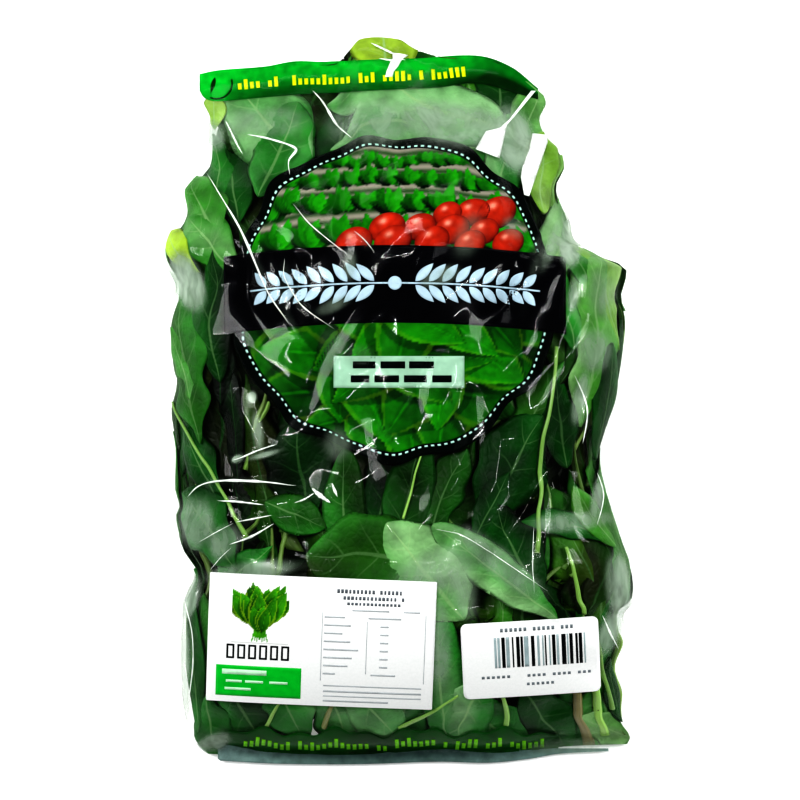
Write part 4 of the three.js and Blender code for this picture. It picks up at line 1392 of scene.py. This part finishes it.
def labelGrid(label, columns, rows):
    # rounded rectangle: rows near its short sides are drawn in by the corner's arc
    corner, height, width = label["corner"], label["height"], label["width"]
    inCorner = height / 2 - corner * (1 - np.sin(np.linspace(0, np.pi / 2, 5)))
    straight = np.linspace(-(height / 2 - corner), height / 2 - corner, rows)[1:-1]
    b = np.concatenate([-inCorner[::-1], straight, inCorner])
    cut = corner - np.sqrt(np.maximum(corner ** 2 - np.maximum(np.abs(b) - height / 2 + corner, 0) ** 2, 0))
    a = np.linspace(-1, 1, columns)[None, :] * (width / 2 - cut)[:, None]
    return onLabel(label, a, np.broadcast_to(b[:, None], a.shape))


def labelBars(label, rows, lift=0.52, columns=2, up=2):
    # bars on a label, each row being x, y, width, height in the label's own millimetres
    rows = np.array(rows, float)
    x, y = onLabel(label, rows[:, 0], rows[:, 1])
    return plates(*bars(x, y, rows[:, 2], rows[:, 3], label["tilt"], columns, up), lift)


def makeLabels():
    # the sheets of paper, then the print on them
    for key, label in labels.items():
        grid = labelGrid(label, int(label["width"] / 1.5), int(label["height"] / 1.5))
        sheet = makePrint(key + "LabelPaper", [plates(*grid, 0.45, thick=0.15)], labelPaper)
        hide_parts(key + "_label")
    product, barcode = labels["product"], labels["barcode"]
    draw = np.random.default_rng(3)
    # a bunch of leaves, painted as a fan over short stalks: count, reach, start and length of each layer
    a, b = gridOf(64, 56)[::-1]
    a, b = a * 14, mix(-2, 30, b)
    paint = blankPaint(a, 0.5, 1)
    layers = ((9, 44, 9, 19), (8, 34, 7, 19), (6, 22, 5, 17), (3, 10, 3.5, 14))
    turn = np.concatenate([np.linspace(-reach, reach, count) for count, reach, _, _ in layers])
    count = len(turn)
    counts, _, start, length = np.array(layers).T
    start, length = (np.repeat(values, counts.astype(int)) for values in (start, length))
    stalks = rowsOf(np.linspace(-4, 4, 7), -1.5, np.linspace(16, -16, 7), 16, 1.3, 0.9)
    paintLeaves(a, b, paint, stalks, shadow=0)
    leaves = rowsOf(turn / 12, start, turn + draw.uniform(-8, 8, count),
                    length * draw.uniform(0.85, 1.08, count), draw.uniform(6, 9, count),
                    draw.uniform(0.1, 0.75, count))
    paintLeaves(a, b, paint, leaves, rim=0.3, shadow=0.35)
    paint = {key: np.clip(value, 0, 1) for key, value in paint.items()}
    bunchInks = printedPicture("bunchInks", "#07380a", "#55b024", "#b8dc3a", "#f4f6f4")
    makePrint("labelBunch", [paintedPlate(*onLabel(product, a - 30, b), 0.5, paint)], bunchInks)
    # dark blocks in place of a word, title marks, a green box with pale bars, and a plain table
    blocks = []
    for a in -44.2 + 5.4 * np.arange(6):
        blocks += [[a - 1.5, -6.4, 0.9, 7], [a, -3.3, 3.6, 0.9], [a + 1.5, -6.4, 0.9, 7], [a, -9.5, 3.6, 0.9]]
    titles = []
    for start, end, height, size in ((6, 40, 25.4, 1.9), (11, 40, 22.2, 1.7), (13, 38, 19.4, 1.3)):
        place = np.arange(start, end, 1.9)
        place = place[draw.random(len(place)) > 0.14]
        titles += rowsOf(place, height, draw.uniform(0.8, 1.4, len(place)), size).tolist()
    paleBars = [[-37, -16.6, 22, 2.6], [-42, -21.2, 8, 1.3], [-32, -21.2, 9, 1.3], [-20, -21.2, 9, 1.3],
                [-40, -25, 13, 1.3]]
    lines = [[0.5, -2, 0.35, 34], [22.5, -2, 0.35, 26], [51, -2, 0.35, 34]]
    rows = []
    cells = ((10, 16), (13, 4), (9, 4), (13, 4), (17, 4), (14, 4), (12, 4), (6, 12))
    for k, (first, second) in enumerate(cells):
        rows += [[1.5 + first / 2, 12.6 - 4 * k, first, 0.8], [31, 12.6 - 4 * k, second, 0.8]]
    rows += [[24, 16.2, 18, 0.7], [44, 16.2, 8, 0.7], [26, -21.4, 48, 0.6], [26, -24.2, 48, 0.9]]
    rows += [[26, -26.6, 48, 0.6], [18, -29, 32, 0.8]]
    # made-up bars of seeded widths
    barCount, codeWidth, codeStart = 21, 45.5, -18.8
    width = draw.choice([0.7, 1.1, 1.6, 2.1], barCount)
    place = np.cumsum(width + draw.choice([0.6, 0.9, 1.4], barCount)) - width / 2
    place, width = place * codeWidth / place[-1] + codeStart, width * codeWidth / place[-1]
    code = rowsOf(place, 3.6, width, 15)
    faded = draw.random(barCount) < 0.48
    small = [[-14 + 2.3 * k, 14.6, 1.3, 1.8] for k in range(16) if k not in (6, 12)]
    notes = [[-24 + 2.5 * k, -8.4, 1.4, 1.3] for k in range(22) if k not in (6, 7, 8, 13, 18)]
    notes += [[-2 + 2.4 * k, -12.6, 1.3, 1.3] for k in range(6)]
    black = printedInk("blackLabelInk", "#14181a")
    greenBox = [[-30, -21, 42, 15.2]]
    prints = (
        ("labelWordBlocks", black, [labelBars(product, blocks, 0.52, 4, 5)]),
        ("labelTitleMarks", ("softBlackLabelInk", "#6a7076"), [labelBars(product, titles)]),
        ("labelGreenBox", ("greenLabelInk", "#02c040"), [labelBars(product, greenBox, 0.52, 30, 12)]),
        ("labelPaleBars", ("paleLabelInk", "#c9f0cf"), [labelBars(product, paleBars, 0.58, 6)]),
        ("labelTable", ("greyLabelInk", "#bcc2c4"),
         [labelBars(product, lines, 0.5, 2, 24), labelBars(product, rows, 0.52, 6)]),
        ("barcodeBars", black, [labelBars(barcode, code[~faded], up=12)]),
        ("barcodePaleBars", ("paleGreyLabelInk", "#a3b4b6"), [labelBars(barcode, code[faded], up=12)]),
        ("barcodeMarks", ("fadedLabelInk", "#7b8488"),
         [labelBars(barcode, marks) for marks in (small, notes)]),
    )
    for name, ink, batches in prints:
        makePrint(name, batches, printedInk(*ink) if isinstance(ink, tuple) else ink)


makeLabels()
print("print and labels done")

# Studio
def makeFloor():
    # wide pale surface just under the bag
    m = newMaterial("paleFloor")
    shader = addNode(m, "BsdfPrincipled", {
        "Base Color": linear("#fafafa"), "Roughness": 0.8,
        "Emission Strength": 0.22, "Emission Color": linear("#ffffff"),
    })
    finishMaterial(m, shader)
    mesh = bpy.data.meshes.new("floor")
    half = 4.0
    corners = [(x * half, y * half, 0) for x, y in ((-1, -1), (1, -1), (1, 1), (-1, 1))]
    mesh.from_pydata(corners, [], [(0, 1, 2, 3)])
    mesh.materials.append(m)
    floor = bpy.data.objects.new("floor", mesh)
    bpy.context.scene.collection.objects.link(floor)


def areaLight(name, place, width, height, watts):
    # rectangular light aimed at the middle of the bag
    light = bpy.data.lights.new(name, "AREA")
    light.shape, light.size, light.size_y, light.energy = "RECTANGLE", width, height, watts
    lamp = bpy.data.objects.new(name, light)
    bpy.context.scene.collection.objects.link(lamp)
    lamp.location = place
    lamp.rotation_mode = "QUATERNION"
    lamp.rotation_quaternion = (Vector((0, 0, 0.03)) - Vector(place)).to_track_quat("-Z", "Y")


makeFloor()
areaLight("leftKey", (-1.05, 0.45, 1.1), 0.5, 0.6, 8.6)
areaLight("rightKey", (1.1, 0.3, 1.05), 0.45, 0.55, 6.4)
areaLight("headSoftbox", (0, 1.35, 0.9), 1.2, 0.4, 3)
areaLight("leftStrip", (-0.55, 0.1, 0.9), 0.02, 0.8, 1.5)
areaLight("rightStrip", (0.6, 0.1, 0.9), 0.02, 0.8, 1.5)

world = bpy.data.worlds.new("studio")
world.use_nodes = True
background = world.node_tree.nodes["Background"]
background.inputs["Color"].default_value = (1, 1, 1, 1)
background.inputs["Strength"].default_value = 0.17
bpy.context.scene.world = world
bpy.context.scene.view_settings.view_transform = "Standard"
bpy.context.scene.view_settings.look = "Very High Contrast"

camera = {"distance": 4.0, "plane": 0.016, "frameWidth": 0.396}
lens = bpy.data.cameras.new("camera")
lens.lens = 36 * camera["distance"] / camera["frameWidth"]
eye = bpy.data.objects.new("camera", lens)
bpy.context.scene.collection.objects.link(eye)
eye.location = (0.0007, -0.0004, camera["distance"] + camera["plane"])
bpy.context.scene.camera = eye
